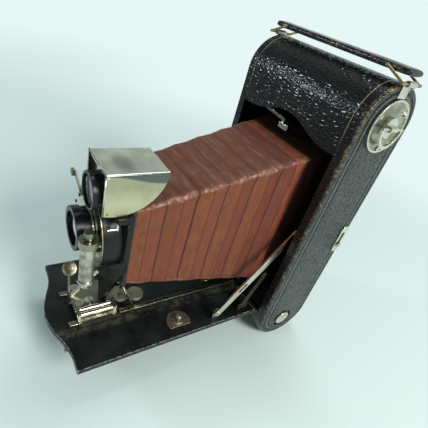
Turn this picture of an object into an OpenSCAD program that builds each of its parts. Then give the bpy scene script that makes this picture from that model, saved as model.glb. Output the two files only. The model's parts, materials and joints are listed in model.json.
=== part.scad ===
// Folding roll film camera, opened for use: leather covered case with round ends, drop bed on
// struts, red bellows on a sliding front standard, pneumatic shutter and a reflecting finder.
// Lengths are millimetres. The pieces are laid out from the floor and the case's front face,
// and place() then moves the tripod bush in the bed to the origin. +Z is up, the lens looks along -Y.

/* [Case] */
// Width of the case, side to side
case_w = 121; // [118:1:130]
// Depth of the case, front to back, which also sets its round ends
case_t = 56; // [54:0.5:62]
// Height of the case
case_h = 243; // [236:1:260]
// Radius of the rounded edges round both sides of the case
edge_r = 2.5; // [1:0.1:4]
// Wall of the leather covered case
case_wall = 2.5; // [2:0.1:3]
// Depth of the back that lifts off
back_depth = 7; // [6:0.5:9]

/* [Film path] */
// Height of the supply spool's axis above the floor
supply_z = 21; // [19:0.5:22]
// Distance of the take-up spool's axis below the top of the case
takeup_drop = 27.5; // [25:0.5:30]
// Radius of the spool flanges
flange_r = 11.9; // [11:0.1:12.4]
// Radius of the spool cores
core_r = 5; // [4:0.25:7]
// Length of a spool over its flanges
spool_l = 92; // [80:1:96]
// Width of the picture
gate_w = 82.5; // [60:0.5:88]
// Room between the picture and the lower film chamber, for the roller
lower_room = 16.25; // [14:0.05:20]
// Room between the picture and the upper film chamber
upper_room = 9.05; // [8.6:0.05:14]
// Radius of a film roller
roller_r = 2; // [1.5:0.1:2.2]
// Radius of the pins that carry the spools
pin_r = 2.5; // [2:0.1:3.5]
// Radius of the disc on the outer end of a spool pin
pin_disc_r = 7.3; // [6:0.1:8]

/* [Winding key] */
// Radius of the round key plate
key_plate_r = 18.5; // [16:0.5:20]
// Radius of the key's shaft
key_shaft_r = 4; // [3:0.1:5]
// Span of the key's folding wing
wing_w = 25; // [18:0.5:27]
// Reach of the wing from its pivot
wing_l = 14; // [10:0.5:14.5]

/* [Bed] */
// Height of the bed's inner face above the floor
bed_z = 36; // [35.5:0.1:38]
// Thickness of the bed
bed_t = 4; // [3:0.1:4.5]
// Width of the bed
bed_w = 103; // [96:0.5:106]
// Height of the curved crown on the bed's front edge
bed_crown = 10; // [6:0.5:12]
// Half width of that crown
crown_half = 42; // [30:1:46]
// Distance between the outer edges of the two track rails
track_w = 34; // [30:0.5:40]
// Width of one rail
rail_w = 4; // [3:0.1:5]
// Height of a rail
rail_h = 2.5; // [2:0.1:3]
// Distance of the tripod bush in front of the case
bush_setback = 30; // [24:1:45]
// Wall radius of the tripod bush's threaded hole
bush_r = 2.55; // [2.5:0.05:4]

/* [Struts] */
// Distance of a strut's lower pivot in front of the case
strut_foot_y = 47; // [40:1:55]
// Height of that pivot above the bed
strut_foot_h = 10; // [8:0.5:14]
// Distance of a strut's upper pivot behind the front face
strut_head_y = 5.5; // [5:0.5:8]
// Height of the upper pivot above the bed
strut_head_h = 84; // [70:1:95]
// Width of a strut
strut_w = 7; // [5:0.5:9]

/* [Bellows] */
// Distance of the bellows' front end in front of the case
extension = 123; // [115:1:124]
// Width of the bellows just ahead of the film gate
bellows_mid_w = 76; // [66:0.5:80]
// Width of the bellows at the front
bellows_front_w = 57; // [50:0.5:58]
// Height of the bellows at the front
bellows_front_h = 63; // [52:0.5:64]
// Number of pleats
pleats = 8; // [6:1:12]
// Depth of a pleat
pleat_d = 1.8; // [1:0.1:3]
// Thickness of the bellows leather
bellows_wall = 0.8; // [0.6:0.1:1.2]

/* [Front standard] */
// Height of the lens axis above the bed
lens_h = 79; // [76:0.5:84]
// Side of the square lens board
board_w = 58; // [58:0.5:62]
// Radius of the shutter's drum
drum_r = 28.3; // [26:0.1:28.4]
// Depth of the drum
drum_d = 12; // [10:0.5:13]
// Radius of the lens barrel
barrel_r = 13.6; // [11:0.1:14]
// Length of the lens barrel
barrel_l = 7; // [6:0.5:9]
// Radius of the ring on the front of the barrel
lens_ring_r = 14.8; // [14.6:0.1:15.5]
// Radius of the glass
glass_r = 11.4; // [9:0.1:11.8]
// Radius of the shutter's air cylinder
air_r = 4.6; // [4:0.1:4.9]
// Distance of the air cylinder from the lens axis
air_x = 22; // [21.5:0.25:24]
// Length of the air cylinder
air_l = 28; // [24:0.5:30]

/* [Finder] */
// Distance of the finder's middle from the lens axis
finder_x = 15; // [14:0.5:16]
// Width of the finder's hood
hood_w = 31.2; // [28:0.2:33]
// Length of the hood
hood_l = 37.1; // [34:0.1:38]
// Height of the hood
hood_h = 27.4; // [26:0.1:30]
// Radius of the round lower edge of the hood's cheeks
cheek_r = 28.9; // [28:0.1:31]
// Radius of the finder's front tube
tube_r = 11.4; // [9:0.1:12]
// Length of that tube
tube_l = 7; // [4:0.5:9]

/* [Handle and leg] */
// Width of the carrying strap
strap_w = 18; // [14:0.5:22]
// Thickness of the strap
strap_t = 5; // [3:0.1:6]
// Room for fingers between the strap and the case
strap_gap = 4.6; // [4.5:0.1:12]
// Distance of the prop leg's hinge behind the bed's front corners
leg_inset = 12.4; // [8:0.1:25]
// Width of the prop leg
leg_w = 24; // [16:1:30]
// How far the leg's foot stands in front of its hinge
leg_splay = 5; // [3:0.5:8]

/* [Hidden] */
$fn = 64;

// Clearances shared by the fits
gap = 0.3;
running = 0.05;
seat = 0.2;
bed_fit = 0.5;

// Case and film chambers
side_x = case_w / 2;
inner_x = side_x - case_wall;
end_r = case_t / 2;
mid_y = case_t / 2;
seam_y = case_t - back_depth;
takeup_z = case_h - takeup_drop;
flange_gap = 2;
chamber_wall = 1.2;
upper_wall_z = takeup_z - flange_r - flange_gap - chamber_wall;
lower_wall_z = bed_z - 0.6;
gate_low = lower_wall_z + lower_room;
gate_high = upper_wall_z - upper_room;
gate_h = gate_high - gate_low;
gate_z = (gate_low + gate_high) / 2;
gate_rim = 4;
gate_t = 1.5;
film_y = seam_y - 0.5;
gate_y = film_y - gate_t;
cheek_t = 2;
cheek_d = 9;
chassis_x = inner_x - seat;
roller_y = film_y - roller_r + 0.4;
roller_low_z = gate_low - gate_rim - roller_r - gap;
roller_high_z = gate_high + gate_rim + roller_r + gap;
journal_r = 1.2;
key_blade = 1.6;
pin_recess = 1.2;
pin_recess_r = pin_disc_r + 3;
pin_grip = 6;

// Key and latch
key_plate_t = 0.9;
key_hub_r = 7;
key_hub_h = 2.2;
key_out_x = side_x + key_plate_t + seat;
wing_t = 1.6;
wing_strip = 2.4;
wing_bar_r = 1.1;
wing_block = 8;
wing_x = key_out_x + key_hub_h + wing_bar_r + 0.5;
latch_z = 115;
latch_l = 27;
latch_w = 9;
latch_t = 1;
latch_slot_w = 3.2;
latch_slot_l = 15;

// Bed and hinge
hinge_r = 2.2;
hinge_y = -(hinge_r + 0.8);
bed_under_z = bed_z - bed_t;
hinge_z = bed_under_z + hinge_r - 0.3;
opening_z0 = bed_under_z - 0.6;
opening_top = upper_wall_z - 0.6;
bed_tip = opening_top - bed_fit - hinge_z - hinge_y;
bed_shoulder = bed_tip - bed_crown;
leaf_t = 0.7;
catch_drop = 3.4;
catch_hook = 6;
catch_clear = 2.5;
rail_x = track_w / 2;
rail_front = bed_tip - 13.4;
inner_rail_end = 30;
stud_gap = 22;
stud_setback = 77;
strut_t = 1.4;
strut_x = bed_w / 2 - 2.5;
collar_t = 1.2;
brace_foot_y = 17;
brace_head_y = 6;
brace_head_h = 38;

// Standard, from the bellows' front end towards the lens
lens_z = bed_z + lens_h;
front_frame_t = 2.5;
board_t = 3;
face_t = 0.8;
frame_back_y = -extension;
board_back_y = frame_back_y - front_frame_t;
drum_back_y = board_back_y - board_t;
face_back_y = drum_back_y - drum_d;
face_y = face_back_y - face_t;
barrel_y = face_y - barrel_l;
ring_l = 5.5;
ring_y = barrel_y - ring_l + 1.5;
frame_strip = 3;
frame_x = board_w / 2 + frame_strip;
frame_foot_x = 5;
neck_h = 6;
shoulder_drop = 16;
board_cut = 12;
foot_gap = 0.3;
foot_t = 1.6;
foot_z = bed_z + rail_h + foot_gap;
foot_top = foot_z + foot_t;
foot_x = rail_x + gap + 1.7;
foot_l = 26;
foot_front_y = frame_back_y - foot_l;
foot_back_y = frame_back_y + 5;
tongue_back_y = frame_back_y + 16;
tongue_x = 8;
rod_r = 1.8;
rod_z = foot_top + rod_r + 0.4;
clamp_y = frame_back_y + 9;
clamp_x = 4;
clamp_pin_r = 1.6;
clamp_t = 2.4;
clamp_z = foot_top + 1.2;
pointer_x = -5;
pointer_y = frame_back_y + 13.5;
pointer_r = 0.8;
pointer_z = clamp_z + clamp_t + 1.6;
tab_x = -3;
tab_y = foot_front_y - 3;
tab_h = 36;
tab_r = 5;
brace_x = -10;
brace_rise = 20;

// Shutter fittings
air_cap_r = air_r + 1.4;
air_cap_h = 5;
air_y = face_y - air_cap_r - 0.5;
air_z = lens_z - air_l + 3;
piston_r = air_r - 1.4;
piston_head_r = 3;
lever_x = -17;
lever_z = lens_z + 16.5;
lever_t = 1.2;
stud_r = 1.5;
dial_r = 6;
dial_z = lens_z + lens_ring_r + dial_r + 0.6;
iris_t = 1;
iris_r = barrel_r + 1.2;

// Finder
sheet = 0.6;
hood_gap = 0.4;
hood_y = face_y - 3.2;
hood_top = lens_z + drum_r + hood_h + 0.4;
arc_y = hood_y + hood_l - cheek_r + 0.3;
arc_z = hood_top + 1.5;
finder_hx = hood_w / 2 - sheet - hood_gap;
finder_y = hood_y + 4;
finder_back_y = hood_y + hood_l - 3;
finder_top = hood_top - sheet - 0.8;
finder_z = lens_z + drum_r + 0.9;
finder_nose = 6;
lid_y = hood_y + 1.6;
lid_z = hood_top - 1.6;
lid_pin_r = 0.8;
tube_z = finder_z + tube_r - 2.8;
bracket_t = 1.5;
bracket_z = finder_z - bracket_t;
bracket_h = 3.6;
pivot_x = board_w / 2 + frame_strip / 2;
pivot_z = bracket_z - bracket_h / 2 + 0.2;
pivot_r = 1.2;
ear_y = drum_back_y - 0.4;
ear_t = 6.5;
hook_r = 0.8;
hook_drop = 5.4;
hook_reach = 6;

// Handle and leg
lug_t = 0.9;
lug_y = mid_y - 2;
lug_w = 9;
eye_r = 2;
wire_r = 1;
wire_leg_r = 0.85;
eye_x = side_x + lug_t + eye_r - 0.6;
eye_z = case_h + 0.6;
strap_z = case_h + strap_gap;
strap_bar_x = side_x - 12.5;
strap_bar_z = strap_z + strap_t / 2;
strap_half = strap_w / 2 + wire_leg_r + gap;
strap_end = side_x + 2.8 - strap_t / 2;
leg_pin_r = 1;
leg_barrel_r = 2;
leg_t = 1.5;
leg_plate_t = 0.8;
leg_plate_d = 12;
leg_z = bed_under_z - leg_plate_t - leg_barrel_r - gap;
leg_setback = bed_shoulder - leg_inset;

// Laying out
module place() translate([0, bush_setback, -bed_under_z]) children();

module across(x0, x1) translate([x0, 0, 0]) rotate([90, 0, 90]) linear_extrude(x1 - x0) children();

module facing(y0, y1) translate([0, y1, 0]) rotate([90, 0, 0]) linear_extrude(y1 - y0) children();

module upward(z0, z1) translate([0, 0, z0]) linear_extrude(z1 - z0) children();

module block(a, b) translate(a) cube(b - a);

module rod_x(x0, x1, y, z, r) translate([x0, y, z]) rotate([0, 90, 0]) cylinder(h = x1 - x0, r = r);

module rod_y(x, y0, y1, z, r) translate([x, y0, z]) rotate([-90, 0, 0]) cylinder(h = y1 - y0, r = r);

module rod_z(x, y, z0, z1, r) translate([x, y, z0]) cylinder(h = z1 - z0, r = r);

// A bar between two points of a drawing, with round ends that are a little wider than its shank
module bar(a, b, w) {
  d = b - a;
  shank = 0.92 * w;
  translate(a) circle(w / 2);
  translate(b) circle(w / 2);
  translate(a) rotate(atan2(d[1], d[0])) translate([0, -shank / 2]) square([norm(d), shank]);
}

// Side outline of the case's inside: a flat front and back between two round ends
module case_outline(inset) {
  r = end_r - inset;
  translate([mid_y, end_r]) circle(r, $fn = 96);
  translate([mid_y, case_h - end_r]) circle(r, $fn = 96);
  translate([inset, end_r]) square([case_t - 2 * inset, case_h - case_t]);
}

// Section through the case from front to back, with rounded edges
module case_section() {
  square([case_w - 2 * edge_r, case_t], center = true);
  square([case_w, case_t - 2 * edge_r], center = true);
  for (x = [-1, 1], y = [-1, 1])
    translate([x * (side_x - edge_r), y * (end_r - edge_r)]) circle(edge_r);
}

// Outer form of the case: that section run up between two ends, where it is turned half round
module case_form() translate([0, mid_y, 0]) {
  translate([0, 0, end_r]) linear_extrude(case_h - case_t) case_section();
  for (z = [end_r, case_h - end_r]) translate([0, 0, z]) rotate([0, 90, 0]) rotate_extrude($fn = 96)
    rotate(90) intersection() {
      case_section();
      translate([-side_x, 0]) square([case_w, end_r]);
    }
}

// Outline of the bed, from its hinge edge to the crowned tip; the opening has the same form
function crown(u) = abs(u) < crown_half ? bed_crown * (1 + cos(180 * u / crown_half)) / 2 : 0;

module bed_outline(start, grow) {
  half = bed_w / 2 + grow;
  steps = 20;
  edge = [for (i = [0 : steps]) let (u = crown_half * (1 - 2 * i / steps))
    [u, bed_shoulder + grow + crown(u)]];
  polygon(concat([[-half, start], [half, start], [half, bed_shoulder + grow]],
    edge, [[-half, bed_shoulder + grow]]));
}

module case_shell() color("#22252a") {
  difference() {
    case_form();
    across(-inner_x, inner_x) case_outline(case_wall);
    block([-side_x - 1, seam_y - seam_half(), -1], [side_x + 1, case_t + 1, case_h + 1]);
    facing(-1, case_wall + 1) translate([0, hinge_z + hinge_y])
      bed_outline(opening_z0 - hinge_z - hinge_y, bed_fit);
    for (s = [[1, supply_z], [-1, supply_z], [-1, takeup_z]]) pin_cut(s[0], s[1]);
    rod_x(inner_x - 1, side_x + 1, mid_y, takeup_z, key_shaft_r + running);
    rod_x(-side_x - 1, -inner_x + 1, mid_y, case_h / 2, bush_flange_r() - 2);
  }
  rod_y(catch_x(), case_wall - 0.5, case_wall + 2.2, catch_z(), stud_r);
}

function seam_half() = seat / 2;
function bush_flange_r() = bush_r + 4.5;
function catch_x() = -(crown_half + 3);
// The catch hangs from the edge of the opening, and clear of the bellows under it
function catch_z() = max(opening_top - bed_crown + 5,
  bellows_top(case_wall + 2) + catch_clear + catch_drop + catch_hook);

module pin_cut(side, z) {
  rod_x(side < 0 ? -side_x - 1 : inner_x - 1, side < 0 ? -inner_x + 1 : side_x + 1,
    mid_y, z, pin_r + running);
  rod_x(side < 0 ? -side_x - 1 : side_x - pin_recess, side < 0 ? -side_x + pin_recess : side_x + 1,
    mid_y, z, pin_recess_r);
}

// Inner frame: the film gate, the walls of both film chambers and the cheeks that join them
module film_chassis() color("#1b1c1e") difference() {
  union() {
    block([-chassis_x, gate_y, gate_low - gate_rim], [chassis_x, film_y, gate_high + gate_rim]);
    block([-chassis_x, case_wall + seat, lower_wall_z - chamber_wall], [chassis_x, film_y, lower_wall_z]);
    block([-chassis_x, case_wall + seat, upper_wall_z], [chassis_x, film_y, upper_wall_z + chamber_wall]);
    for (s = [-1, 1]) {
      x = s * (chassis_x - cheek_t / 2);
      block([x - cheek_t / 2, film_y - cheek_d, lower_wall_z - chamber_wall],
        [x + cheek_t / 2, film_y, upper_wall_z + chamber_wall]);
    }
  }
  block([-gate_w / 2, gate_y - 1, gate_low], [gate_w / 2, film_y + 1, gate_high]);
  for (z = [roller_low_z, roller_high_z])
    rod_x(-chassis_x - 1, chassis_x + 1, roller_y, z, journal_r + running);
  // The film passes through the chamber walls behind the rollers
  for (z = [lower_wall_z - chamber_wall, upper_wall_z])
    block([-gate_w / 2 - 4, film_y - cheek_d, z - 1], [gate_w / 2 + 4, film_y + 1, z + chamber_wall + 1]);
}

module film_roller(z) color("#c9c6ba") {
  rod_x(-chassis_x + cheek_t + gap, chassis_x - cheek_t - gap, roller_y, z, roller_r);
  rod_x(-chassis_x + 0.1, chassis_x - 0.1, roller_y, z, journal_r);
}

module film_roller_lower() film_roller(roller_low_z);

module film_roller_upper() film_roller(roller_high_z);

// Wooden core between two metal flanges, with a slot for the key and pin holes
module spool(z, slot) color("#6b4a2c") difference() {
  union() {
    rod_x(-spool_l / 2, spool_l / 2, mid_y, z, core_r);
    for (x = [-spool_l / 2, spool_l / 2 - 1.2]) rod_x(x, x + 1.2, mid_y, z, flange_r);
  }
  rod_x(-spool_l / 2 - 1, -spool_l / 2 + pin_grip + 1, mid_y, z, pin_r + running);
  rod_x(spool_l / 2 - pin_grip - 1, spool_l / 2 + 1, mid_y, z, pin_r + running);
  if (slot) {
    half = key_blade / 2 + 0.1;
    block([spool_l / 2 - 3.5, mid_y - half, z - flange_r + 4],
      [spool_l / 2 + 1, mid_y + half, z + flange_r - 4]);
  }
}

module takeup_spool() spool(takeup_z, true);

module supply_spool() spool(supply_z, false);

// Spring pin that carries one end of a spool, with a disc outside to pull it by
module spool_pin(side, z) color("#cfcdc2") {
  tip = spool_l / 2 - pin_grip;
  disc = side_x - pin_recess + gap;
  if (side > 0) {
    rod_x(tip, disc, mid_y, z, pin_r);
    rod_x(disc, disc + 1.6, mid_y, z, pin_disc_r);
    rod_x(spool_l / 2 + 2, spool_l / 2 + 3, mid_y, z, pin_r + 1.5);
  } else {
    rod_x(-disc, -tip, mid_y, z, pin_r);
    rod_x(-disc - 1.6, -disc, mid_y, z, pin_disc_r);
    rod_x(-spool_l / 2 - 3, -spool_l / 2 - 2, mid_y, z, pin_r + 1.5);
  }
}

module spool_pin_lower_near() spool_pin(1, supply_z);

module spool_pin_lower_far() spool_pin(-1, supply_z);

module spool_pin_upper_far() spool_pin(-1, takeup_z);

// Round nickel plate under the key, with a raised rim and a tab that runs up to the handle's eye
module key_plate() color("#d8d5c8") difference() {
  union() {
    rod_x(side_x, side_x + key_plate_t, mid_y, takeup_z, key_plate_r);
    difference() {
      rod_x(side_x, side_x + key_plate_t + 0.9, mid_y, takeup_z, key_plate_r);
      rod_x(side_x - 1, side_x + key_plate_t + 2, mid_y, takeup_z, key_plate_r - 1.6);
    }
    rod_x(side_x, side_x + key_plate_t + 0.7, mid_y + 0.56 * key_plate_r, takeup_z + 0.56 * key_plate_r, 1.3);
  }
  rod_x(side_x - 1, side_x + 3, mid_y, takeup_z, key_shaft_r + running);
}

// Shaft with a hub outside, a bored block for the wing and a blade that drives the take-up spool
module winding_key() color("#d8d5c8") {
  hub = key_out_x + key_hub_h;
  rod_x(spool_l / 2 + 1, hub, mid_y, takeup_z, key_shaft_r);
  rod_x(key_out_x, hub, mid_y, takeup_z, key_hub_r);
  difference() {
    union() {
      block([hub, mid_y - wing_block / 2, takeup_z - 2], [wing_x, mid_y + wing_block / 2, takeup_z + 2]);
      rod_y(wing_x, mid_y - wing_block / 2, mid_y + wing_block / 2, takeup_z, 2);
    }
    rod_y(wing_x, mid_y - wing_block, mid_y + wing_block, takeup_z, wing_bar_r + running);
  }
  block([spool_l / 2 - 3, mid_y - key_blade / 2, takeup_z - flange_r + 4.4],
    [spool_l / 2 + 1.5, mid_y + key_blade / 2, takeup_z + flange_r - 4.4]);
  rod_x(spool_l / 2 - pin_grip, spool_l / 2 + 1.5, mid_y, takeup_z, pin_r);
}

// Folding loop of the key: a round bar through the block, closed by a curved strip
module key_wing() color("#d8d5c8") {
  half = wing_w / 2;
  rod_y(wing_x, mid_y - half + 0.6, mid_y + half - 0.6, takeup_z, wing_bar_r);
  across(wing_x - wing_t / 2, wing_x + wing_t / 2) translate([mid_y, takeup_z]) difference() {
    wing_curve(half, wing_l);
    wing_curve(half - wing_strip, wing_l - wing_strip);
  }
}

// Half of an egg shaped curve, hanging from the pivot
module wing_curve(half, reach) {
  steps = 24;
  polygon([for (i = [0 : steps]) let (a = 180 * i / steps)
    [half * cos(a) * (1 - 0.12 * sin(a)), -reach * sin(a)]]);
}

// Removable back: the rear slice of the same outline, closed behind
module back_cover() color("#22252a") difference() {
  intersection() {
    case_form();
    block([-side_x - 1, seam_y + seam_half(), -1], [side_x + 1, case_t + 1, case_h + 1]);
  }
  across(-inner_x, inner_x) case_outline(case_wall);
  rod_y(0, seam_y, case_t + 1, gate_z, window_r());
}

function window_r() = 6;

module ruby_window() color("#8f1a14") rod_y(0, case_t - case_wall, case_t - 0.6, gate_z, window_r() - 0.05);

// Long oval escutcheon of the back's catch, and the button that slides in it
module latch_bezel() color("#d8d5c8") across(side_x, side_x + latch_t) difference() {
  bar([latch_y(), latch_z - latch_l / 2 + latch_w / 2],
    [latch_y(), latch_z + latch_l / 2 - latch_w / 2], latch_w);
  bar([latch_y(), latch_z - latch_slot_l / 2 + latch_slot_w / 2],
    [latch_y(), latch_z + latch_slot_l / 2 - latch_slot_w / 2], latch_slot_w);
}

function latch_y() = seam_y + seam_half() + latch_w / 2 - 3.6;

module latch_button() color("#d8d5c8") {
  z = latch_z - latch_slot_l / 2 + latch_slot_w / 2 + 0.4;
  rod_x(side_x + 0.15, side_x + latch_t + 1.2, latch_y(), z, latch_slot_w / 2 - 0.2);
  rod_x(side_x + latch_t + 0.25, side_x + latch_t + 1.6, latch_y(), z, latch_slot_w / 2 + 0.6);
}

// Leaf spring with a hook that holds the closed bed, on a stud inside the opening's top edge
module catch_spring() color("#d8d5c8") {
  y0 = case_wall + 0.4;
  z0 = catch_z() - catch_drop;
  difference() {
    facing(y0, y0 + 1.4) union() {
      bar([catch_x(), catch_z()], [-4, z0], 2.6);
      translate([catch_x(), catch_z()]) circle(3);
    }
    rod_y(catch_x(), y0 - 1, y0 + 3, catch_z(), stud_r + running);
  }
  block([-6, y0 - 2, z0 - catch_hook], [4, y0 + 1.4, z0 - 2]);
  block([-6, y0, z0 - 2], [-3, y0 + 1.4, z0]);
}

module side_bush() color("#b9b09a") difference() {
  union() {
    rod_x(-side_x - 0.6, -side_x, mid_y, case_h / 2, bush_flange_r());
    rod_x(-side_x, -side_x + 6, mid_y, case_h / 2, bush_flange_r() - 2.1);
  }
  rod_x(-side_x - 1, -side_x + 5.2, mid_y, case_h / 2, bush_r);
}

module bed_plate() color("#1d2023") difference() {
  upward(bed_under_z, bed_z) mirror([0, 1, 0]) bed_outline(-hinge_y + hinge_r + gap, 0);
  rod_z(0, -bush_setback, bed_under_z - 1, bed_z + 1, bush_r + 2.6);
}

// Long hinge between the case and the bed, a leaf on each side of its barrel
module bed_hinge() color("#3a3a38") {
  half = bed_w / 2 - 2;
  rod_x(-half, half, hinge_y, hinge_z, hinge_r);
  block([-half, hinge_y, hinge_z - hinge_r], [half, case_wall + 4, hinge_z - hinge_r + leaf_t]);
  block([-half, hinge_y - 15, bed_under_z - leaf_t], [half, hinge_y, bed_under_z]);
}

module bed_bush() color("#b9b09a") difference() {
  union() {
    rod_z(0, -bush_setback, bed_under_z, bed_z + 0.8, bush_r + 2.5);
    rod_z(0, -bush_setback, bed_z, bed_z + 0.8, bush_r + 5);
  }
  rod_z(0, -bush_setback, bed_under_z - 1, bed_z + 2, bush_r);
}

// Small plate with a round stud, riveted beside the track
module bed_stud() color("#cfccc0") {
  x = rail_x + stud_gap;
  y = -stud_setback;
  upward(bed_z, bed_z + 1) translate([x, y]) intersection() {
    circle(10);
    translate([-12, -12]) square([17, 24]);
  }
  rod_z(x - 1, y, bed_z + 1, bed_z + 2, 4.4);
  translate([x - 1, y, bed_z + 3.6]) sphere(2.6);
}

// Two rails that the standard runs on, with a short length of each inside the case
module track_rails() color("#8d8a7c") for (s = [-1, 1]) {
  x0 = s > 0 ? rail_x - rail_w : -rail_x;
  block([x0, -rail_front, bed_z], [x0 + rail_w, hinge_y - hinge_r - 1, bed_z + rail_h]);
  block([x0, 0.5, lower_wall_z], [x0 + rail_w, inner_rail_end, bed_z + rail_h]);
}

module strut(x) color("#cfccc0") difference() {
  across(x - strut_t / 2, x + strut_t / 2) difference() {
    bar(strut_foot(), strut_head(), strut_w);
    bar(strut_foot() + strut_along(0.28), strut_foot() + strut_along(0.36), strut_w * 0.4);
  }
  for (p = [strut_foot(), strut_head()]) rod_x(x - 2, x + 2, p[0], p[1], rivet_r() + running);
}

function strut_foot() = [-strut_foot_y, bed_z + strut_foot_h];
function strut_head() = [strut_head_y, bed_z + strut_head_h];
function strut_along(t) = (strut_head() - strut_foot()) * t;
function rivet_r() = 1.5;

module strut_near() strut(strut_x);

module strut_far() strut(-strut_x);

// Short braces that stiffen the bed behind the struts, each standing on a lug
module strut_braces() color("#cfccc0") for (s = [-1, 1]) {
  x = s * (strut_x - 3.2);
  across(x - 0.7, x + 0.7) {
    bar([-brace_foot_y, bed_z + 6], [-brace_head_y, bed_z + brace_head_h], 5);
    translate([-brace_foot_y - 5, bed_z]) square([10, 6]);
  }
}

// Lugs on the bed and inside the opening, with the rivets that the struts turn on
module strut_rivets() color("#cfccc0") for (s = [-1, 1]) {
  x = s * (strut_x - strut_t / 2 - 0.2);
  in = x - s * 1.2;
  across(min(x, in), max(x, in)) union() {
    translate([-strut_foot_y, bed_z + strut_foot_h]) circle(3.4);
    translate([-strut_foot_y - 3.4, bed_z]) square([6.8, strut_foot_h]);
  }
  out = s * (strut_x + strut_t / 2 + 0.7);
  rod_x(min(x, out), max(x, out), strut_foot()[0], strut_foot()[1], rivet_r());
  wall = s * inner_x;
  head = s * (strut_x - strut_t / 2 - 0.8);
  rod_x(min(wall, head), max(wall, head), strut_head()[0], strut_head()[1], rivet_r());
  // A collar behind the strut and a flange on the case's side
  for (x = [strut_x + strut_t / 2 + 0.3, inner_x - collar_t])
    rod_x(min(s * x, s * (x + collar_t)), max(s * x, s * (x + collar_t)),
      strut_head()[0], strut_head()[1], 2 * rivet_r());
}

// Bellows: one folded leather wall, tapering from the film gate to the lens board
bellows_back_y = gate_y - front_frame_t;
bellows_rear_w = gate_w + 3;
bellows_rear_h = gate_h + 3;
bellows_front_z = lens_z + board_w / 2 - bellows_front_h / 2;
corner = 6;

function mix(a, b, t) = a + (b - a) * t;

// The bellows tapers evenly and flares in its last pleats to the film gate
flare = 0.88;
function bellows_width(t) = t < flare ? mix(bellows_front_w, bellows_mid_w, t / flare)
  : mix(bellows_mid_w, bellows_rear_w, (t - flare) / (1 - flare));

// Height of the bellows' top over a point of the bed
function bellows_top(y) = let (t = (y - frame_back_y) / (bellows_back_y - frame_back_y))
  mix(bellows_front_z, gate_z, t) + mix(bellows_front_h, bellows_rear_h, t) / 2;

// One eight sided ring, with the side folds and the corner folds half a pleat apart
function bellows_ring(t, fold, inset) = let (
    y = mix(frame_back_y, bellows_back_y, t),
    z = mix(bellows_front_z, gate_z, t),
    a = bellows_width(t) / 2 - inset - fold * pleat_d,
    b = mix(bellows_front_h, bellows_rear_h, t) / 2 - inset - fold * pleat_d,
    c = corner - inset * 0.6 - fold * pleat_d * 0.6)
  [[a, y, z - b + c], [a, y, z + b - c], [a - c, y, z + b], [-a + c, y, z + b],
   [-a, y, z + b - c], [-a, y, z - b + c], [-a + c, y, z - b], [a - c, y, z - b]];

module bellows() color("#8a4436") {
  rings = 2 * pleats;
  outer = [for (i = [0 : rings]) each bellows_ring(i / rings, i % 2, 0)];
  inner = [for (i = [0 : rings]) each bellows_ring(i / rings, i % 2, bellows_wall)];
  n = 8 * (rings + 1);
  sides = [for (i = [0 : rings - 1], k = [0 : 7]) let (a = 8 * i + k, b = 8 * i + (k + 1) % 8)
    each [[a, b, b + 8], [a, b + 8, a + 8], [n + b, n + a, n + b + 8], [n + a, n + a + 8, n + b + 8]]];
  front = [for (k = [0 : 7]) let (a = k, b = (k + 1) % 8) each [[b, a, n + a], [b, n + a, n + b]]];
  last = 8 * rings;
  back = [for (k = [0 : 7]) let (a = last + k, b = last + (k + 1) % 8)
    each [[a, b, n + a], [b, n + b, n + a]]];
  polyhedron(points = concat(outer, inner), faces = concat(sides, front, back));
}

module bellows_rear_frame() color("#1b1c1e") difference() {
  x = bellows_rear_w / 2 + 1;
  z = bellows_rear_h / 2 + 1;
  block([-x, bellows_back_y, gate_z - z], [x, gate_y, gate_z + z]);
  block([-gate_w / 2, bellows_back_y - 1, gate_low], [gate_w / 2, gate_y + 1, gate_high]);
}

module bellows_front_frame() color("#1b1c1e") difference() {
  x = bellows_front_w / 2;
  z = bellows_front_h / 2;
  block([-x, board_back_y, bellows_front_z - z], [x, frame_back_y, bellows_front_z + z]);
  block([-x + 5, board_back_y - 1, bellows_front_z - z + 5],
    [x - 5, frame_back_y + 1, bellows_front_z + z - 5]);
}

// Foot of the standard: a plate lipped round the rails, with posts for the guide rods
module standard_foot() color("#cfccc0") difference() {
  union() {
    block([-foot_x, foot_front_y, foot_z], [foot_x, foot_back_y, foot_top]);
    block([-tongue_x, foot_back_y, foot_z], [tongue_x, tongue_back_y, foot_top]);
    for (s = [-1, 1]) {
      x = s > 0 ? rail_x + gap : -foot_x;
      block([x, foot_front_y, bed_z + 0.5], [x + foot_x - rail_x - gap, foot_back_y, foot_z]);
    }
    for (y = [foot_front_y, frame_back_y]) block([6, y, foot_top], [15, y + 2.5, rod_z + rod_r + 0.6]);
    rod_z(clamp_x, clamp_y, foot_top, clamp_z + clamp_t + 0.6, clamp_pin_r);
    // Slanting brace from the plate up to the standard's frame
    across(brace_x - 1.6, brace_x + 1.6) polygon([[drum_back_y - brace_rise + 2, foot_top],
      [drum_back_y - brace_rise, foot_top], [drum_back_y, foot_top + brace_rise],
      [drum_back_y, foot_top + brace_rise - 2]]);
  }
  for (x = rod_places()) rod_y(x, foot_front_y - 1, frame_back_y + 6, rod_z, rod_r + running);
}

function rod_places() = [8.3, 12.9];

module foot_rods() color("#e4e2da") for (x = rod_places())
  rod_y(x, foot_front_y - 0.5, frame_back_y + 3, rod_z, rod_r);

// Lever with two round lobes that clamps the standard to the track
module clamp_lever() color("#aaa695") difference() {
  upward(clamp_z, clamp_z + clamp_t) union() {
    translate([clamp_x, clamp_y]) circle(6);
    translate([clamp_x + 2, clamp_y + 12]) circle(6.6);
    translate([clamp_x - 3, clamp_y]) square([7.5, 11]);
  }
  rod_z(clamp_x, clamp_y, clamp_z - 1, clamp_z + clamp_t + 1, clamp_pin_r + running);
}

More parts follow.
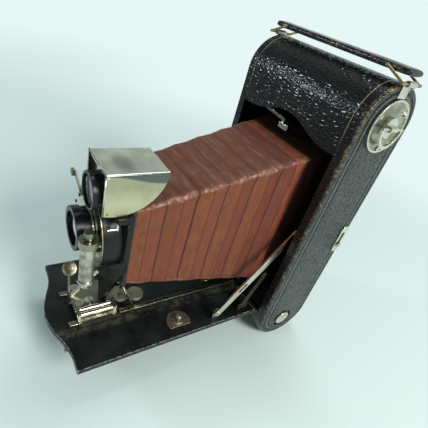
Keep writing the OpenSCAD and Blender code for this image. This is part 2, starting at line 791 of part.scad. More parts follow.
// Pointer that reads the distance beside the near rail, on a post behind the clamp
module focus_pointer() color("#d8d5c8") {
  rod_z(pointer_x, pointer_y, foot_top, pointer_z + pointer_r, 1.4);
  rod_x(pointer_x, rail_x + 3, pointer_y, pointer_z, pointer_r);
  rod_z(rail_x + 3, pointer_y, bed_z + rail_h + 0.5, pointer_z + pointer_r, pointer_r);
}

// Finger tab that the standard is drawn out by, its round end turned towards the hand
module pull_tab() color("#9a927c") {
  block([tab_x - 1.4, tab_y + 1.2, foot_z], [tab_x + 1.4, foot_front_y, foot_top]);
  block([tab_x - 1.4, tab_y, foot_z], [tab_x + 1.4, tab_y + 1.2, foot_top + tab_h - 1.2]);
  translate([tab_x, tab_y + 0.6, foot_top + tab_h]) rotate([0, 45, 0])
    cylinder(h = 1.4, r = tab_r, center = true);
}

module foot_screws() color("#d8d5c8") {
  for (p = [[1.5, foot_front_y + 4.5], [-15.4, foot_front_y + 4.5], [0, foot_front_y + 12]])
    difference() {
      rod_z(p[0], p[1], foot_top, foot_top + 2, 3.2);
      block([p[0] - 4, p[1] - 0.4, foot_top + 1.3], [p[0] + 4, p[1] + 0.4, foot_top + 3]);
    }
}

// Outline of the lens board, with its lower corners cut off; the frame's window has the same form
module board_outline(grow) {
  half = board_w / 2 + grow;
  z0 = lens_z - board_w / 2 - grow;
  polygon([[-half + board_cut, z0], [half - board_cut, z0], [half, z0 + board_cut], [half, z0 + 2 * half],
    [-half, z0 + 2 * half], [-half, z0 + board_cut]]);
}

// Black metal frame round the lens board, drawn in below to a narrow foot, with the finder's pivot
module standard_frame() color("#1d1f21") {
  top = lens_z + board_w / 2 - 4;
  facing(drum_back_y, board_back_y) difference() {
    union() {
      polygon([[-frame_foot_x, foot_top], [frame_foot_x, foot_top], [frame_foot_x, foot_top + neck_h],
        [frame_x, lens_z - shoulder_drop], [frame_x, top], [-frame_x, top],
        [-frame_x, lens_z - shoulder_drop], [-frame_foot_x, foot_top + neck_h]]);
      translate([board_w / 2, top - 4]) square([frame_strip, pivot_z + 2 - top + 4]);
    }
    board_outline(0.1);
    translate([-board_w / 2 - 0.1, top - 1]) square([board_w + 0.2, 12]);
  }
  rod_y(pivot_x, ear_y - ear_t - 0.8, board_back_y, pivot_z, pivot_r);
}

module lens_board() color("#17181a") difference() {
  facing(drum_back_y, board_back_y) board_outline(0);
  rod_y(0, drum_back_y - 1, board_back_y + 1, lens_z, cell_r() + 0.3);
}

function cell_r() = glass_r + 2;

// Drum of the shutter, with the rear lens cell that passes through the board
module shutter_case() color("#1b1c1e") difference() {
  union() {
    rod_y(0, face_back_y, drum_back_y, lens_z, drum_r);
    rod_y(0, drum_back_y, frame_back_y + 4, lens_z, cell_r());
  }
  rod_y(0, face_back_y - 1, frame_back_y + 5, lens_z, glass_r + running);
}

// Nickel front plate with the studs that its levers turn on
module shutter_face() color("#d5d2c6") difference() {
  union() {
    rod_y(0, face_y, face_back_y, lens_z, drum_r - 0.5);
    rod_y(lever_x, face_y - 2.6, face_y, lever_z, stud_r);
    rod_y(0, face_y - 2.6, face_y, dial_z, stud_r);
  }
  rod_y(0, face_y - 5, face_back_y + 1, lens_z, glass_r + running);
}

module lens_barrel() color("#141414") difference() {
  rod_y(0, barrel_y, face_y, lens_z, barrel_r);
  rod_y(0, barrel_y - 1, face_y + 1, lens_z, glass_r + running);
}

module lens_ring() color("#101010") difference() {
  rod_y(0, ring_y, ring_y + ring_l, lens_z, lens_ring_r);
  rod_y(0, ring_y + ring_l - 1.5, ring_y + ring_l + 1, lens_z, barrel_r + running);
  rod_y(0, ring_y - 1, ring_y + ring_l + 1, lens_z, glass_r + running);
}

// Front and rear glasses, each a disc with one domed side
module lenses() color("#9fb6c4") {
  dome = 30;
  intersection() {
    rod_y(0, barrel_y - 4, barrel_y + 2, lens_z, glass_r);
    translate([0, barrel_y - 2.4 + dome, lens_z]) sphere(dome, $fn = 96);
  }
  intersection() {
    rod_y(0, frame_back_y - 0.5, frame_back_y + 5, lens_z, glass_r);
    translate([0, frame_back_y + 3.6 - dome, lens_z]) sphere(dome, $fn = 96);
  }
}

// Pneumatic cylinder beside the lens, on saddles, with a wide cap and a hose nipple below
module air_cylinder() color("#cfcbb8") difference() {
  union() {
    rod_z(air_x, air_y, air_z, air_z + air_l, air_r);
    rod_z(air_x, air_y, air_z + air_l, air_z + air_l + air_cap_h, air_cap_r);
    rod_z(air_x, air_y, air_z - 1.5, air_z, air_r + 0.9);
    rod_z(air_x, air_y, air_z - 4, air_z - 1.5, 3);
    rod_z(air_x, air_y, air_z - 8, air_z - 4, 1.9);
    for (z = [air_z + 4, air_z + air_l - 8])
      block([air_x - 2, air_y, z], [air_x + 2, face_y, z + 3]);
  }
  rod_z(air_x, air_y, air_z + 4, air_z + air_l + 2, piston_r + running);
  rod_z(air_x, air_y, air_z + air_l, air_z + air_l + air_cap_h + 1, piston_head_r - 1 + running);
}

// Piston on a rod through the cap, with the head that rises when the shutter is released
module release_piston() color("#b7ab86") {
  top = air_z + air_l + air_cap_h;
  rod_z(air_x, air_y, air_z + 8, air_z + air_l - piston_rise() - 1, piston_r);
  rod_z(air_x, air_y, air_z + 8, top + 1, piston_head_r - 1);
  rod_z(air_x, air_y, top + gap, top + 5.5, piston_head_r);
}

function piston_rise() = 4;

module release_lever() color("#d5d2c6") {
  y1 = face_y - 0.7;
  tip = [-32.5, lens_z + 22];
  difference() {
    facing(y1 - lever_t, y1) union() {
      translate([lever_x, lever_z]) circle(3.2);
      bar([lever_x, lever_z], tip, 3);
    }
    rod_y(lever_x, y1 - 4, y1 + 1, lever_z, stud_r + running);
  }
  rod_y(tip[0], y1 - lever_t - 1.8, y1 - lever_t, tip[1], 2.8);
}

// Dial that sets the speed, with a milled edge
module speed_dial() color("#e0ded4") {
  y1 = face_y - 0.5;
  difference() {
    rod_y(0, y1 - 1.6, y1, dial_z, dial_r);
    rod_y(0, y1 - 3, y1 + 1, dial_z, stud_r + running);
    for (i = [0 : 23]) rod_y(dial_r * cos(15 * i), y1 - 3, y1 + 1, dial_z + dial_r * sin(15 * i), 0.35);
  }
}

// Ring round the barrel with a pointer that sets the aperture
module iris_pointer() color("#d5d2c6") {
  y1 = face_y - 0.4;
  difference() {
    facing(y1 - iris_t, y1) translate([0, lens_z]) union() {
      circle(iris_r);
      bar([0, -barrel_r], [0, -drum_r + 4.5], 3);
    }
    rod_y(0, y1 - 4, y1 + 1, lens_z, barrel_r + running);
  }
  rod_y(0, y1 - iris_t - 1.6, y1 - iris_t, lens_z - drum_r + 4.8, 1.3);
}

// Shelf under the finder's nose, with the block that it swings on at the standard's top corner
module finder_bracket() color("#1d1f21") difference() {
  union() {
    block([finder_x - 5, finder_y, bracket_z], [finder_x + finder_hx, finder_y + finder_nose, finder_z]);
    block([finder_x + 9, ear_y - ear_t, pivot_z - bracket_h / 2],
      [pivot_x + 2.6, ear_y, pivot_z + bracket_h / 2]);
    // Hooked wire under the ear, by which the finder is swung over
    hook_y = ear_y - ear_t + hook_r;
    hook_z = pivot_z - bracket_h / 2 - hook_drop;
    rod_z(pivot_x, hook_y, hook_z, hook_z + hook_drop + 0.5, hook_r);
    rod_y(pivot_x, hook_y - hook_reach, hook_y, hook_z + hook_r, hook_r * 0.95);
  }
  rod_y(pivot_x, ear_y - ear_t - 1, ear_y + 1, pivot_z, pivot_r + running);
}

// Side outline of the finder's box: open above, slanting behind for the mirror
module finder_outline(inset) polygon([
  [finder_y + inset, finder_z + inset], [finder_y + finder_nose, finder_z + inset],
  [finder_back_y - inset * 1.4, finder_top - 3.2], [finder_back_y - inset * 1.4, finder_top],
  [finder_y + inset, finder_top]]);

module finder_body() color("#1a1a1a") difference() {
  across(finder_x - finder_hx, finder_x + finder_hx) finder_outline(0);
  across(finder_x - finder_hx + 1, finder_x + finder_hx - 1) translate([0, 0.01]) finder_outline(1);
  rod_y(finder_x, finder_y - 1, finder_y + 2, tube_z, tube_r - 1.4);
  block([finder_x - finder_hx + 1, finder_y + 1, finder_top - 1],
    [finder_x + finder_hx - 1, finder_back_y - 1.4, finder_top + 1]);
}

// Bright front plate of the finder, which holds the tube and the hood's hinge pin
module finder_front() color("#d5d2c6") difference() {
  union() {
    block([finder_x - finder_hx, finder_y - 1, finder_z], [finder_x + finder_hx, finder_y, finder_top]);
    block([finder_x - finder_hx, lid_y - 0.6, lid_z - 1.6],
      [finder_x + finder_hx, finder_y - 1, lid_z + 0.2]);
    rod_x(finder_x - hood_w / 2 - 0.2, finder_x + hood_w / 2 + 0.2, lid_y, lid_z, lid_pin_r);
  }
  rod_y(finder_x, finder_y - 4, finder_y + 1, tube_z, tube_r - 1.4);
}

module finder_tube() color("#121212") difference() {
  rod_y(finder_x, finder_y - 1 - tube_l, finder_y - 1, tube_z, tube_r);
  rod_y(finder_x, finder_y - 2 - tube_l, finder_y, tube_z, tube_r - 1.5);
}

// Objective in the tube and the flat glass that the picture is seen on
module finder_glasses() color("#9fb6c4") {
  rod_y(finder_x, finder_y - tube_l + 1, finder_y - tube_l + 3, tube_z, tube_r - 1.55);
  block([finder_x - finder_hx + 1.1, finder_y + 1.1, finder_top - 1],
    [finder_x + finder_hx - 1.1, finder_back_y - 1.6, finder_top]);
}

module finder_mirror() color("#d9dde0") {
  a = [finder_y + finder_nose - 1.2, finder_z + 1.3];
  b = [finder_back_y - 3, finder_top - 4.6];
  across(finder_x - finder_hx + 1.2, finder_x + finder_hx - 1.2) {
    d = (b - a) / norm(b - a);
    n = [-d[1], d[0]];
    polygon([a + n * 0.2, b + n * 0.2, b + n * 1.1, a + n * 1.1]);
  }
}

// Folded sheet hood with round bottomed cheeks, hinged at its front edge
module finder_hood() color("#dedbcf") difference() {
  across(finder_x - hood_w / 2, finder_x + hood_w / 2) intersection() {
    translate([arc_y, arc_z]) circle(cheek_r, $fn = 96);
    translate([hood_y, finder_z - 6]) square([hood_l, hood_top - finder_z + 6]);
  }
  block([finder_x - hood_w / 2 + sheet, hood_y - 1, finder_z - 9],
    [finder_x + hood_w / 2 - sheet, hood_y + hood_l + 1, hood_top - sheet]);
  rod_x(finder_x - hood_w, finder_x + hood_w, lid_y, lid_z, lid_pin_r + running);
}

// Lugs on both sides with a rolled eye for the handle's wire loops
module handle_lugs() color("#d8d5c8") for (s = [-1, 1]) mirror([s < 0 ? 1 : 0, 0, 0]) difference() {
  union() {
    block([side_x, lug_y - lug_w / 2, takeup_z + key_plate_r + 0.2],
      [side_x + lug_t, lug_y + lug_w / 2, eye_z]);
    rod_y(eye_x, lug_y - lug_w / 2, lug_y + lug_w / 2, eye_z, eye_r);
  }
  rod_y(eye_x, lug_y - lug_w, lug_y + lug_w, eye_z, wire_r + running);
}

// A round wire between two points
module wire(a, b, r) {
  d = b - a;
  translate(a) rotate([0, acos(d[2] / norm(d)), atan2(d[1], d[0])]) cylinder(h = norm(d), r = r);
}

// Four sided wire loops that lean in over the edge and join the strap to the lugs
module handle_loops() color("#b08d3e") for (s = [-1, 1]) {
  end = strap_half + wire_r;
  for (p = [[eye_x, eye_z], [strap_bar_x, strap_bar_z]])
    wire([s * p[0], lug_y - end, p[1]], [s * p[0], lug_y + end, p[1]], wire_r);
  for (t = [-1, 1]) {
    y = lug_y + t * strap_half;
    wire([s * eye_x, y, eye_z], [s * strap_bar_x, y, strap_bar_z], wire_leg_r);
  }
}

// Padded leather strap with round ends, sewn round the loops
module handle_strap() color("#17171a") difference() {
  union() {
    block([-strap_end, lug_y - strap_w / 2, strap_z], [strap_end, lug_y + strap_w / 2, strap_z + strap_t]);
    for (s = [-1, 1])
      rod_y(s * strap_end, lug_y - strap_w / 2, lug_y + strap_w / 2, strap_bar_z, strap_t / 2);
  }
  for (s = [-1, 1]) rod_y(s * strap_bar_x, lug_y - strap_w, lug_y + strap_w, strap_bar_z, wire_r + running);
}

// Bracket under the bed's tip for the prop leg
module leg_hinge() color("#cfccc0") {
  block([-leg_w / 2 - 2, -leg_setback - leg_plate_d / 2, bed_under_z - leg_plate_t],
    [leg_w / 2 + 2, -leg_setback + leg_plate_d / 2, bed_under_z]);
  difference() {
    for (s = [-1, 1]) {
      x = s * (leg_w / 2 + gap + 0.8);
      across(x - 0.8, x + 0.8) {
        translate([-leg_setback, leg_z]) circle(leg_barrel_r);
        translate([-leg_setback - leg_barrel_r, leg_z]) square([2 * leg_barrel_r, bed_under_z - leg_z - 0.4]);
      }
    }
    rod_x(-leg_w, leg_w, -leg_setback, leg_z, leg_pin_r + running);
  }
}

// Prop leg that holds the bed level when the camera stands on its end
module prop_leg() color("#cfccc0") {
  rod_x(-leg_w / 2, leg_w / 2, -leg_setback, leg_z, leg_barrel_r);
  rod_x(-leg_w / 2 - 2, leg_w / 2 + 2, -leg_setback, leg_z, leg_pin_r);
  across(-leg_w / 2, leg_w / 2) {
    polygon([[-leg_setback - leg_t / 2, leg_z - 1], [-leg_setback + leg_t / 2, leg_z - 1],
      [-leg_setback - leg_splay + leg_t / 2, 0], [-leg_setback - leg_splay - leg_t / 2, 0]]);
    translate([-leg_setback - leg_splay - 5, 0]) square([5, 1.2]);
  }
}

place() case_shell();
place() film_chassis();
place() key_plate();
place() side_bush();
place() handle_lugs();
place() catch_spring();
place() bed_plate();
place() bed_hinge();
place() bed_bush();
place() bed_stud();
place() track_rails();
place() strut_near();
place() strut_far();
place() strut_braces();
place() strut_rivets();
place() bellows();
place() bellows_rear_frame();
place() back_cover();
place() ruby_window();
place() latch_bezel();
place() latch_button();
place() winding_key();
place() key_wing();
place() takeup_spool();
place() supply_spool();
place() film_roller_lower();
place() film_roller_upper();
place() spool_pin_lower_near();
place() spool_pin_lower_far();
place() spool_pin_upper_far();
place() leg_hinge();
place() prop_leg();
place() handle_strap();
place() handle_loops();
place() standard_foot();
place() foot_rods();
place() focus_pointer();
place() pull_tab();
place() foot_screws();
place() clamp_lever();
place() standard_frame();
place() lens_board();
place() bellows_front_frame();
place() shutter_case();
place() shutter_face();
place() lens_barrel();
place() lens_ring();
place() lenses();
place() air_cylinder();
place() release_lever();
place() release_piston();
place() speed_dial();
place() iris_pointer();
place() finder_bracket();
place() finder_body();
place() finder_front();
place() finder_tube();
place() finder_glasses();
place() finder_mirror();
place() finder_hood();
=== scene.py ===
# Folding roll film camera, opened for use: a leather covered case with round ends, a drop bed on
# struts, a red bellows, a sliding lens standard with a pneumatic shutter, and a reflecting finder.
import json
import math

import bmesh
import bpy
from mathutils import Matrix, Vector, noise


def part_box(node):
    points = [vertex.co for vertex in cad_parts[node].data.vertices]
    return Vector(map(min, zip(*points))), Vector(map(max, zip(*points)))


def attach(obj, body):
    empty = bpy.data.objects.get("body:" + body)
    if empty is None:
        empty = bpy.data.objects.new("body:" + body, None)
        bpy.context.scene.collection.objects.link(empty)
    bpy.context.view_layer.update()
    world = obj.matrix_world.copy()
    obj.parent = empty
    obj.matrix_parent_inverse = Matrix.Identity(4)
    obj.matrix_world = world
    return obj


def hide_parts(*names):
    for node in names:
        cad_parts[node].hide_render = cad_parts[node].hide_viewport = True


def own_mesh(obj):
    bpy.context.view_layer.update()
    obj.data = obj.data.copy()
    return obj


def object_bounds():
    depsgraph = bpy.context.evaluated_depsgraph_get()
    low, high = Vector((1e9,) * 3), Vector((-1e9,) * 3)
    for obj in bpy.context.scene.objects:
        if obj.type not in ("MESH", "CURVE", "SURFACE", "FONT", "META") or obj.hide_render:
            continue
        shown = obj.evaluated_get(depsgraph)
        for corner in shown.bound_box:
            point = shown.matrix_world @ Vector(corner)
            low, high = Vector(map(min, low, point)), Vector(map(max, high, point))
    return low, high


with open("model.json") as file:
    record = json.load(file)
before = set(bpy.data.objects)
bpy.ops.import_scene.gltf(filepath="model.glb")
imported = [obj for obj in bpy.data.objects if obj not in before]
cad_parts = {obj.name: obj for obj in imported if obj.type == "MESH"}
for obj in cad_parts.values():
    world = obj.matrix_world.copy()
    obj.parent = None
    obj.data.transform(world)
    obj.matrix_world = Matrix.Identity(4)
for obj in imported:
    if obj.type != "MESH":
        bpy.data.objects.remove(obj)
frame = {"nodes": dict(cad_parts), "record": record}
cad_low, cad_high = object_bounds()

# The setting: a plain pale floor, a wide soft light on the side with the winding key, weaker ones in
# front and above, and a view from above the near front corner with the camera tipped a little.
scene = bpy.context.scene
scene.view_settings.view_transform = "Standard"

viewer = bpy.data.objects.new("viewer", bpy.data.cameras.new("viewer"))
viewer.data.sensor_width = 36
viewer.data.lens = 29.456
viewer.data.clip_start = 0.01
view_right = Vector((0.51058, 0.82244, 0.25081))
view_up = Vector((-0.58206, 0.11590, 0.80484))
view_back = Vector((0.63286, -0.55693, 0.53789))
view_turn = Matrix((view_right, view_up, view_back)).transposed()
view_from = Vector((0.182106, -0.170521, 0.232818))
viewer.matrix_world = Matrix.Translation(view_from) @ view_turn.to_4x4()
scene.collection.objects.link(viewer)
scene.camera = viewer


def soft_light(name, place, aim, width, power, colour):
    light = bpy.data.objects.new(name, bpy.data.lights.new(name, "AREA"))
    light.data.shape = "DISK"
    light.data.size = width
    light.data.energy = power
    light.data.color = colour
    light.location = place
    light.rotation_euler = (Vector(aim) - Vector(place)).to_track_quat("-Z", "Y").to_euler()
    scene.collection.objects.link(light)


soft_light("key_light", (1.05, 0.16, 0.80), (0, 0, 0.07), 0.5, 13.0, (1.0, 0.99, 0.95))
soft_light("front_light", (-0.74, -0.80, 0.42), (0, 0, 0.12), 0.16, 2.5, (0.82, 0.95, 1.0))
soft_light("top_light", (-0.20, 0.30, 1.15), (0, 0, 0.1), 0.45, 3.0, (0.96, 0.99, 1.0))


def feed(tree, node, inputs):
    """Set a node's inputs by name or number: a socket is linked, anything else becomes the value."""
    for key, value in inputs.items():
        if isinstance(value, bpy.types.NodeSocket):
            tree.links.new(value, node.inputs[key])
        else:
            node.inputs[key].default_value = value


def add(tree, kind, inputs=None, **settings):
    node = tree.nodes.new("ShaderNode" + kind)
    for key, value in settings.items():
        setattr(node, key, value)
    feed(tree, node, inputs or {})
    return node


def number(tree, operation, *values):
    return add(tree, "Math", dict(enumerate(values)), operation=operation).outputs[0]


def times(tree, first, second):
    return number(tree, "MULTIPLY", first, second)


def along(tree, place, direction):
    inputs = {0: place, 1: direction}
    return add(tree, "VectorMath", inputs, operation="DOT_PRODUCT").outputs["Value"]


def axes(tree, place):
    return add(tree, "SeparateXYZ", {0: place}).outputs


def colour_mix(tree, share, low, high):
    return add(tree, "Mix", {0: share, 6: low, 7: high}, data_type="RGBA").outputs[2]


def ramp(tree, value, low, high, to_low=0.0, to_high=1.0):
    inputs = {"Value": value, "From Min": low, "From Max": high, "To Min": to_low, "To Max": to_high}
    return add(tree, "MapRange", inputs, interpolation_type="SMOOTHSTEP").outputs[0]


def object_place(tree):
    return add(tree, "TexCoord").outputs["Object"]


def new_finish(name):
    material = bpy.data.materials.new(name)
    material.use_nodes = True
    tree = material.node_tree
    return material, tree, tree.nodes["Principled BSDF"]


def seeing_rays(tree):
    """Rays that show the backdrop, as camera, glossy and transmitted ones do, and the glossy ones alone."""
    rays = add(tree, "LightPath").outputs
    seen = number(tree, "MAXIMUM", rays["Is Camera Ray"], rays["Is Glossy Ray"])
    return number(tree, "MAXIMUM", seen, rays["Is Transmission Ray"]), rays["Is Glossy Ray"]


# Reflections find a pale room that darkens overhead and towards one side; other rays get an even sky
backdrop, overhead, dark_side = (0.79, 0.93, 0.92, 1), (0.22, 0.25, 0.25, 1), (0.035, 0.045, 0.045, 1)
even_sky = (0.27, 0.305, 0.305, 1)
world = bpy.data.worlds.new("studio")
world.use_nodes = True
scene.world = world
sky = world.node_tree
gaze = add(sky, "TexCoord").outputs["Generated"]
seen, glossy = seeing_rays(sky)
sky_colour = colour_mix(sky, ramp(sky, axes(sky, gaze)["Z"], 0.22, 0.72), backdrop, overhead)
dark_room = ramp(sky, along(sky, gaze, (-0.62, -0.78, 0.10)), 0.35, 0.80, 0.0, 0.88)
sky_colour = colour_mix(sky, times(sky, dark_room, glossy), sky_colour, dark_side)
feed(sky, sky.nodes["Background"], {"Color": colour_mix(sky, seen, even_sky, sky_colour)})


def made_mesh(name, form):
    mesh = bpy.data.meshes.new(name)
    form.to_mesh(mesh)
    form.free()
    return mesh


form = bmesh.new()
bmesh.ops.create_circle(form, cap_ends=True, segments=96, radius=40.0)
bmesh.ops.translate(form, verts=form.verts, vec=(0, 0, cad_low.z))
floor_mesh = made_mesh("floor", form)
floor = bpy.data.objects.new("floor", floor_mesh)
scene.collection.objects.link(floor)
floor_finish, tree, shader = new_finish("pale floor")
feed(tree, shader, {"Base Color": (0.75, 0.88, 0.86, 1), "Roughness": 0.9, "Specular IOR Level": 0.1})
# Beyond the shadow the floor goes over into the backdrop, which is shaded a little on one side
place = object_place(tree)
away = add(tree, "VectorMath", {0: place}, operation="LENGTH").outputs["Value"]
seen, glossy = seeing_rays(tree)
aside = ramp(tree, along(tree, place, (-0.53, -0.85, 0.0)), 0.0, 0.5)
aside = times(tree, aside, ramp(tree, away, 0.25, 1.3, 0.55, 0.0))
plain = colour_mix(tree, aside, backdrop, (0.36, 0.46, 0.465, 1))
ahead = ramp(tree, along(tree, place, (-0.62, -0.78, 0.0)), 0.16, 0.45, 0.0, 0.9)
plain = colour_mix(tree, times(tree, ahead, glossy), plain, dark_side)
plain = add(tree, "Emission", {"Color": plain, "Strength": 1.0})
far_off = times(tree, seen, ramp(tree, away, 0.22, 0.75))
both = add(tree, "MixShader", {0: far_off, 1: shader.outputs[0], 2: plain.outputs[0]})
feed(tree, tree.nodes["Material Output"], {"Surface": both.outputs[0]})
floor_mesh.materials.append(floor_finish)

# Case and back: wood covered in black pebbled leather, turned over the rounded edges and rubbed
# brown along them. A double line is pressed into both sides, and a seam runs round each end.
bodies = frame["record"]["behaviour"]["bodies"]
body_of = {node: body for body, members in bodies.items() for node in members}
slot_of = {row["node"]: row["material_slot"] for row in frame["record"]["subparts"]}


def cloud(tree, place, scale, detail=4.0, roughness=0.55):
    inputs = {"Vector": place, "Scale": scale, "Detail": detail, "Roughness": roughness}
    return add(tree, "TexNoise", inputs).outputs["Fac"]


def distance_from(tree, value, middle):
    return number(tree, "ABSOLUTE", number(tree, "SUBTRACT", value, middle))


def thin_line(tree, value, at, half):
    return ramp(tree, distance_from(tree, value, at), half * 0.35, half, 1.0, 0.0)


def raised(tree, strength, depth, height):
    return add(tree, "Bump", {"Strength": strength, "Distance": depth, "Height": height}).outputs[0]


def new_group(name, inputs, outputs):
    group = bpy.data.node_groups.new(name, "ShaderNodeTree")
    for label, kind, value in inputs:
        socket = group.interface.new_socket(label, in_out="INPUT", socket_type="NodeSocket" + kind)
        if value is not None:
            socket.default_value = value
    for label, kind in outputs:
        group.interface.new_socket(label, in_out="OUTPUT", socket_type="NodeSocket" + kind)
    return group, group.nodes.new("NodeGroupInput").outputs, group.nodes.new("NodeGroupOutput")


grain, given, result = new_group("leather grain",
    [("Place", "Vector", None), ("Cells", "Float", 560.0)], [("Height", "Float"), ("Valley", "Float")])
sway = add(grain, "TexNoise", {"Vector": given["Place"], "Scale": 260.0, "Detail": 1.0})
sway = add(grain, "VectorMath", {0: sway.outputs["Color"], "Scale": 0.0012}, operation="SCALE")
swayed = add(grain, "VectorMath", {0: given["Place"], 1: sway.outputs[0]}, operation="ADD").outputs[0]
pebbles = {"Vector": swayed, "Scale": given["Cells"]}
pebble_gap = add(grain, "TexVoronoi", pebbles, feature="DISTANCE_TO_EDGE").outputs["Distance"]
pores = times(grain, cloud(grain, given["Place"], 2400.0, 2.0), 0.06)
feed(grain, result, {"Height": number(grain, "ADD", ramp(grain, pebble_gap, 0.0, 0.40), pores),
    "Valley": ramp(grain, pebble_gap, 0.0, 0.15, 1.0, 0.0)})


def place_piece(name, mesh, finish, body, slot, *stands_for):
    piece = bpy.data.objects.new(name, mesh)
    scene.collection.objects.link(piece)
    if not mesh.materials:
        mesh.materials.append(finish)
    for polygon in mesh.polygons:
        polygon.use_smooth = True
    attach(piece, body)
    if stands_for:
        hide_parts(*stands_for)
    return piece


def merged_copy(node):
    form = bmesh.new()
    form.from_mesh(frame["nodes"][node].data)
    bmesh.ops.remove_doubles(form, verts=form.verts, dist=2e-6)
    bmesh.ops.dissolve_limit(form, angle_limit=math.radians(1.5), verts=form.verts, edges=form.edges)
    for face in form.faces:
        face.material_index = 0
    return form


def ease_edges(node, finish, width, rounds=2, form=None, second=None, second_where=None):
    """A CAD piece with its sharp edges eased; a second finish goes on the faces that a test picks."""
    form = form or merged_copy(node)
    if second:
        for face in form.faces:
            face.material_index = int(second_where(face.calc_center_median(), face.normal))
    mesh = made_mesh(node + "_finished", form)
    mesh.materials.append(finish)
    if second:
        mesh.materials.append(second)
    piece = place_piece(node + "_finished", mesh, finish, body_of[node], slot_of[node], node)
    bevel = piece.modifiers.new("eased edges", "BEVEL")
    bevel.width = width
    bevel.segments = rounds
    bevel.limit_method = "ANGLE"
    bevel.angle_limit = math.radians(32)
    flat = piece.modifiers.new("flat faces", "WEIGHTED_NORMAL")
    flat.mode = "FACE_AREA"
    flat.weight = 50


case_leather, tree, shader = new_finish("case leather")
place = object_place(tree)
stretched = add(tree, "Mapping", {"Vector": place, "Scale": (0.66, 1.0, 1.0)}).outputs[0]
pebble = add(tree, "Group", {"Place": stretched, "Cells": 380.0}, node_tree=grain).outputs
# How far a point lies inside the outline of a side, which is two half circles and two straight edges
end_radius, middle_y, middle_z, straight = 0.028, 0.058, 0.0895, 0.0935
side_from, side_to, seam_x = 0.0598, 0.0603, 0.0520
where = axes(tree, place)
off_x = number(tree, "ABSOLUTE", where["X"])
off_y = number(tree, "SUBTRACT", where["Y"], middle_y)
off_z = number(tree, "SUBTRACT", distance_from(tree, where["Z"], middle_z), straight)
off_z = number(tree, "MAXIMUM", off_z, 0.0)
reach = number(tree, "ADD", number(tree, "POWER", off_y, 2.0), number(tree, "POWER", off_z, 2.0))
inside = number(tree, "SUBTRACT", end_radius, number(tree, "SQRT", reach))
on_side = ramp(tree, off_x, side_from, side_to)
# The two pressed lines and the polished strip between them
outer_line, polished_strip, inner_line = 0.0050, 0.0071, 0.0092
pressed = thin_line(tree, inside, outer_line, 0.0014)
pressed = number(tree, "MAXIMUM", pressed, thin_line(tree, inside, inner_line, 0.0014))
pressed = times(tree, pressed, on_side)
polished_sheen = times(tree, thin_line(tree, inside, polished_strip, 0.0016), on_side)
# Black dye, darker between the pebbles; dusty and finely wrinkled on the sides, where a paler bluish grey
# is also painted sheen
tone = cloud(tree, place, 38.0, 3.0)
black = colour_mix(tree, tone, (0.004, 0.005, 0.005, 1), (0.011, 0.013, 0.0125, 1))
black = colour_mix(tree, times(tree, pebble["Valley"], 0.6), black, (0.004, 0.004, 0.004, 1))
combed = add(tree, "Mapping", {"Vector": place, "Scale": (1.0, 1.0, 0.30)}).outputs[0]
dashes = ramp(tree, cloud(tree, combed, 1250.0, 2.0), 0.38, 0.58, 1.0, 0.0)
# On the sides: a paler bluish grey between dark wrinkles, dust and painted sheen together
dust_and_sheen = colour_mix(tree, dashes, (0.047, 0.058, 0.054, 1), (0.010, 0.012, 0.011, 1))
black = colour_mix(tree, on_side, black, dust_and_sheen)
# The polished strip is painted a lighter bluish grey: painted sheen
black = colour_mix(tree, times(tree, polished_sheen, 0.8), black, (0.090, 0.108, 0.102, 1))
black = colour_mix(tree, pressed, black, (0.003, 0.003, 0.003, 1))
# Brown where the edges are rubbed, most on the side with the key and at the top
hue = ramp(tree, cloud(tree, place, 420.0, 2.0), 0.35, 0.72)
brown = colour_mix(tree, hue, (0.030, 0.017, 0.008, 1), (0.27, 0.19, 0.11, 1))
near_edge = ramp(tree, off_x, 0.0572, 0.0592)
near_edge = times(tree, near_edge, ramp(tree, inside, 0.0006, 0.0034, 1.0, 0.0))
worn_from = ramp(tree, where["X"], -0.06, 0.06, 0.60, 0.49)
worn_from = number(tree, "SUBTRACT", worn_from, ramp(tree, where["Z"], 0.11, 0.18, 0.0, 0.07))
worn_to = number(tree, "ADD", worn_from, 0.12)
rubbed = ramp(tree, cloud(tree, place, 230.0, 5.0, 0.70), worn_from, worn_to)
leather = colour_mix(tree, times(tree, near_edge, rubbed), black, brown)
# The thread of the seam shows near the top only
seam = times(tree, thin_line(tree, off_x, seam_x, 0.00045), ramp(tree, where["Z"], 0.158, 0.186))
seam = times(tree, seam, ramp(tree, tone, 0.30, 0.44))
gloss = times(tree, number(tree, "SUBTRACT", tone, 0.5), 0.2)
gloss = number(tree, "ADD", ramp(tree, pebble["Valley"], 0.0, 1.0, 0.20, 0.60), gloss)
height = number(tree, "SUBTRACT", pebble["Height"], times(tree, dashes, on_side))
height = number(tree, "SUBTRACT", height, times(tree, pressed, 2.6))
height = number(tree, "SUBTRACT", height, times(tree, seam, 0.8))
grained = raised(tree, 1.0, 0.00019, height)
varnish = ramp(tree, on_side, 0.0, 1.0, 0.5, 0.14)
varnish = times(tree, varnish, number(tree, "SUBTRACT", 1.0, pressed))
feed(tree, shader, {"Base Color": colour_mix(tree, seam, leather, (0.42, 0.30, 0.16, 1)),
    "Roughness": gloss, "Specular IOR Level": 0.28, "Normal": grained,
    "Coat Weight": varnish, "Coat Roughness": 0.20, "Coat Normal": grained})
leather_edge = 0.0005
for node in ("case_shell", "back_cover"):
    ease_edges(node, case_leather, leather_edge)

# Inside the case: the chassis that holds the film, of sheet metal in dull black enamel, and the
# blackened frames to which the bellows is glued at both ends. All three keep their plain shape.
def keep_node(node, finish):
    slots = frame["nodes"][node].data.materials
    slots.clear()
    slots.append(finish)


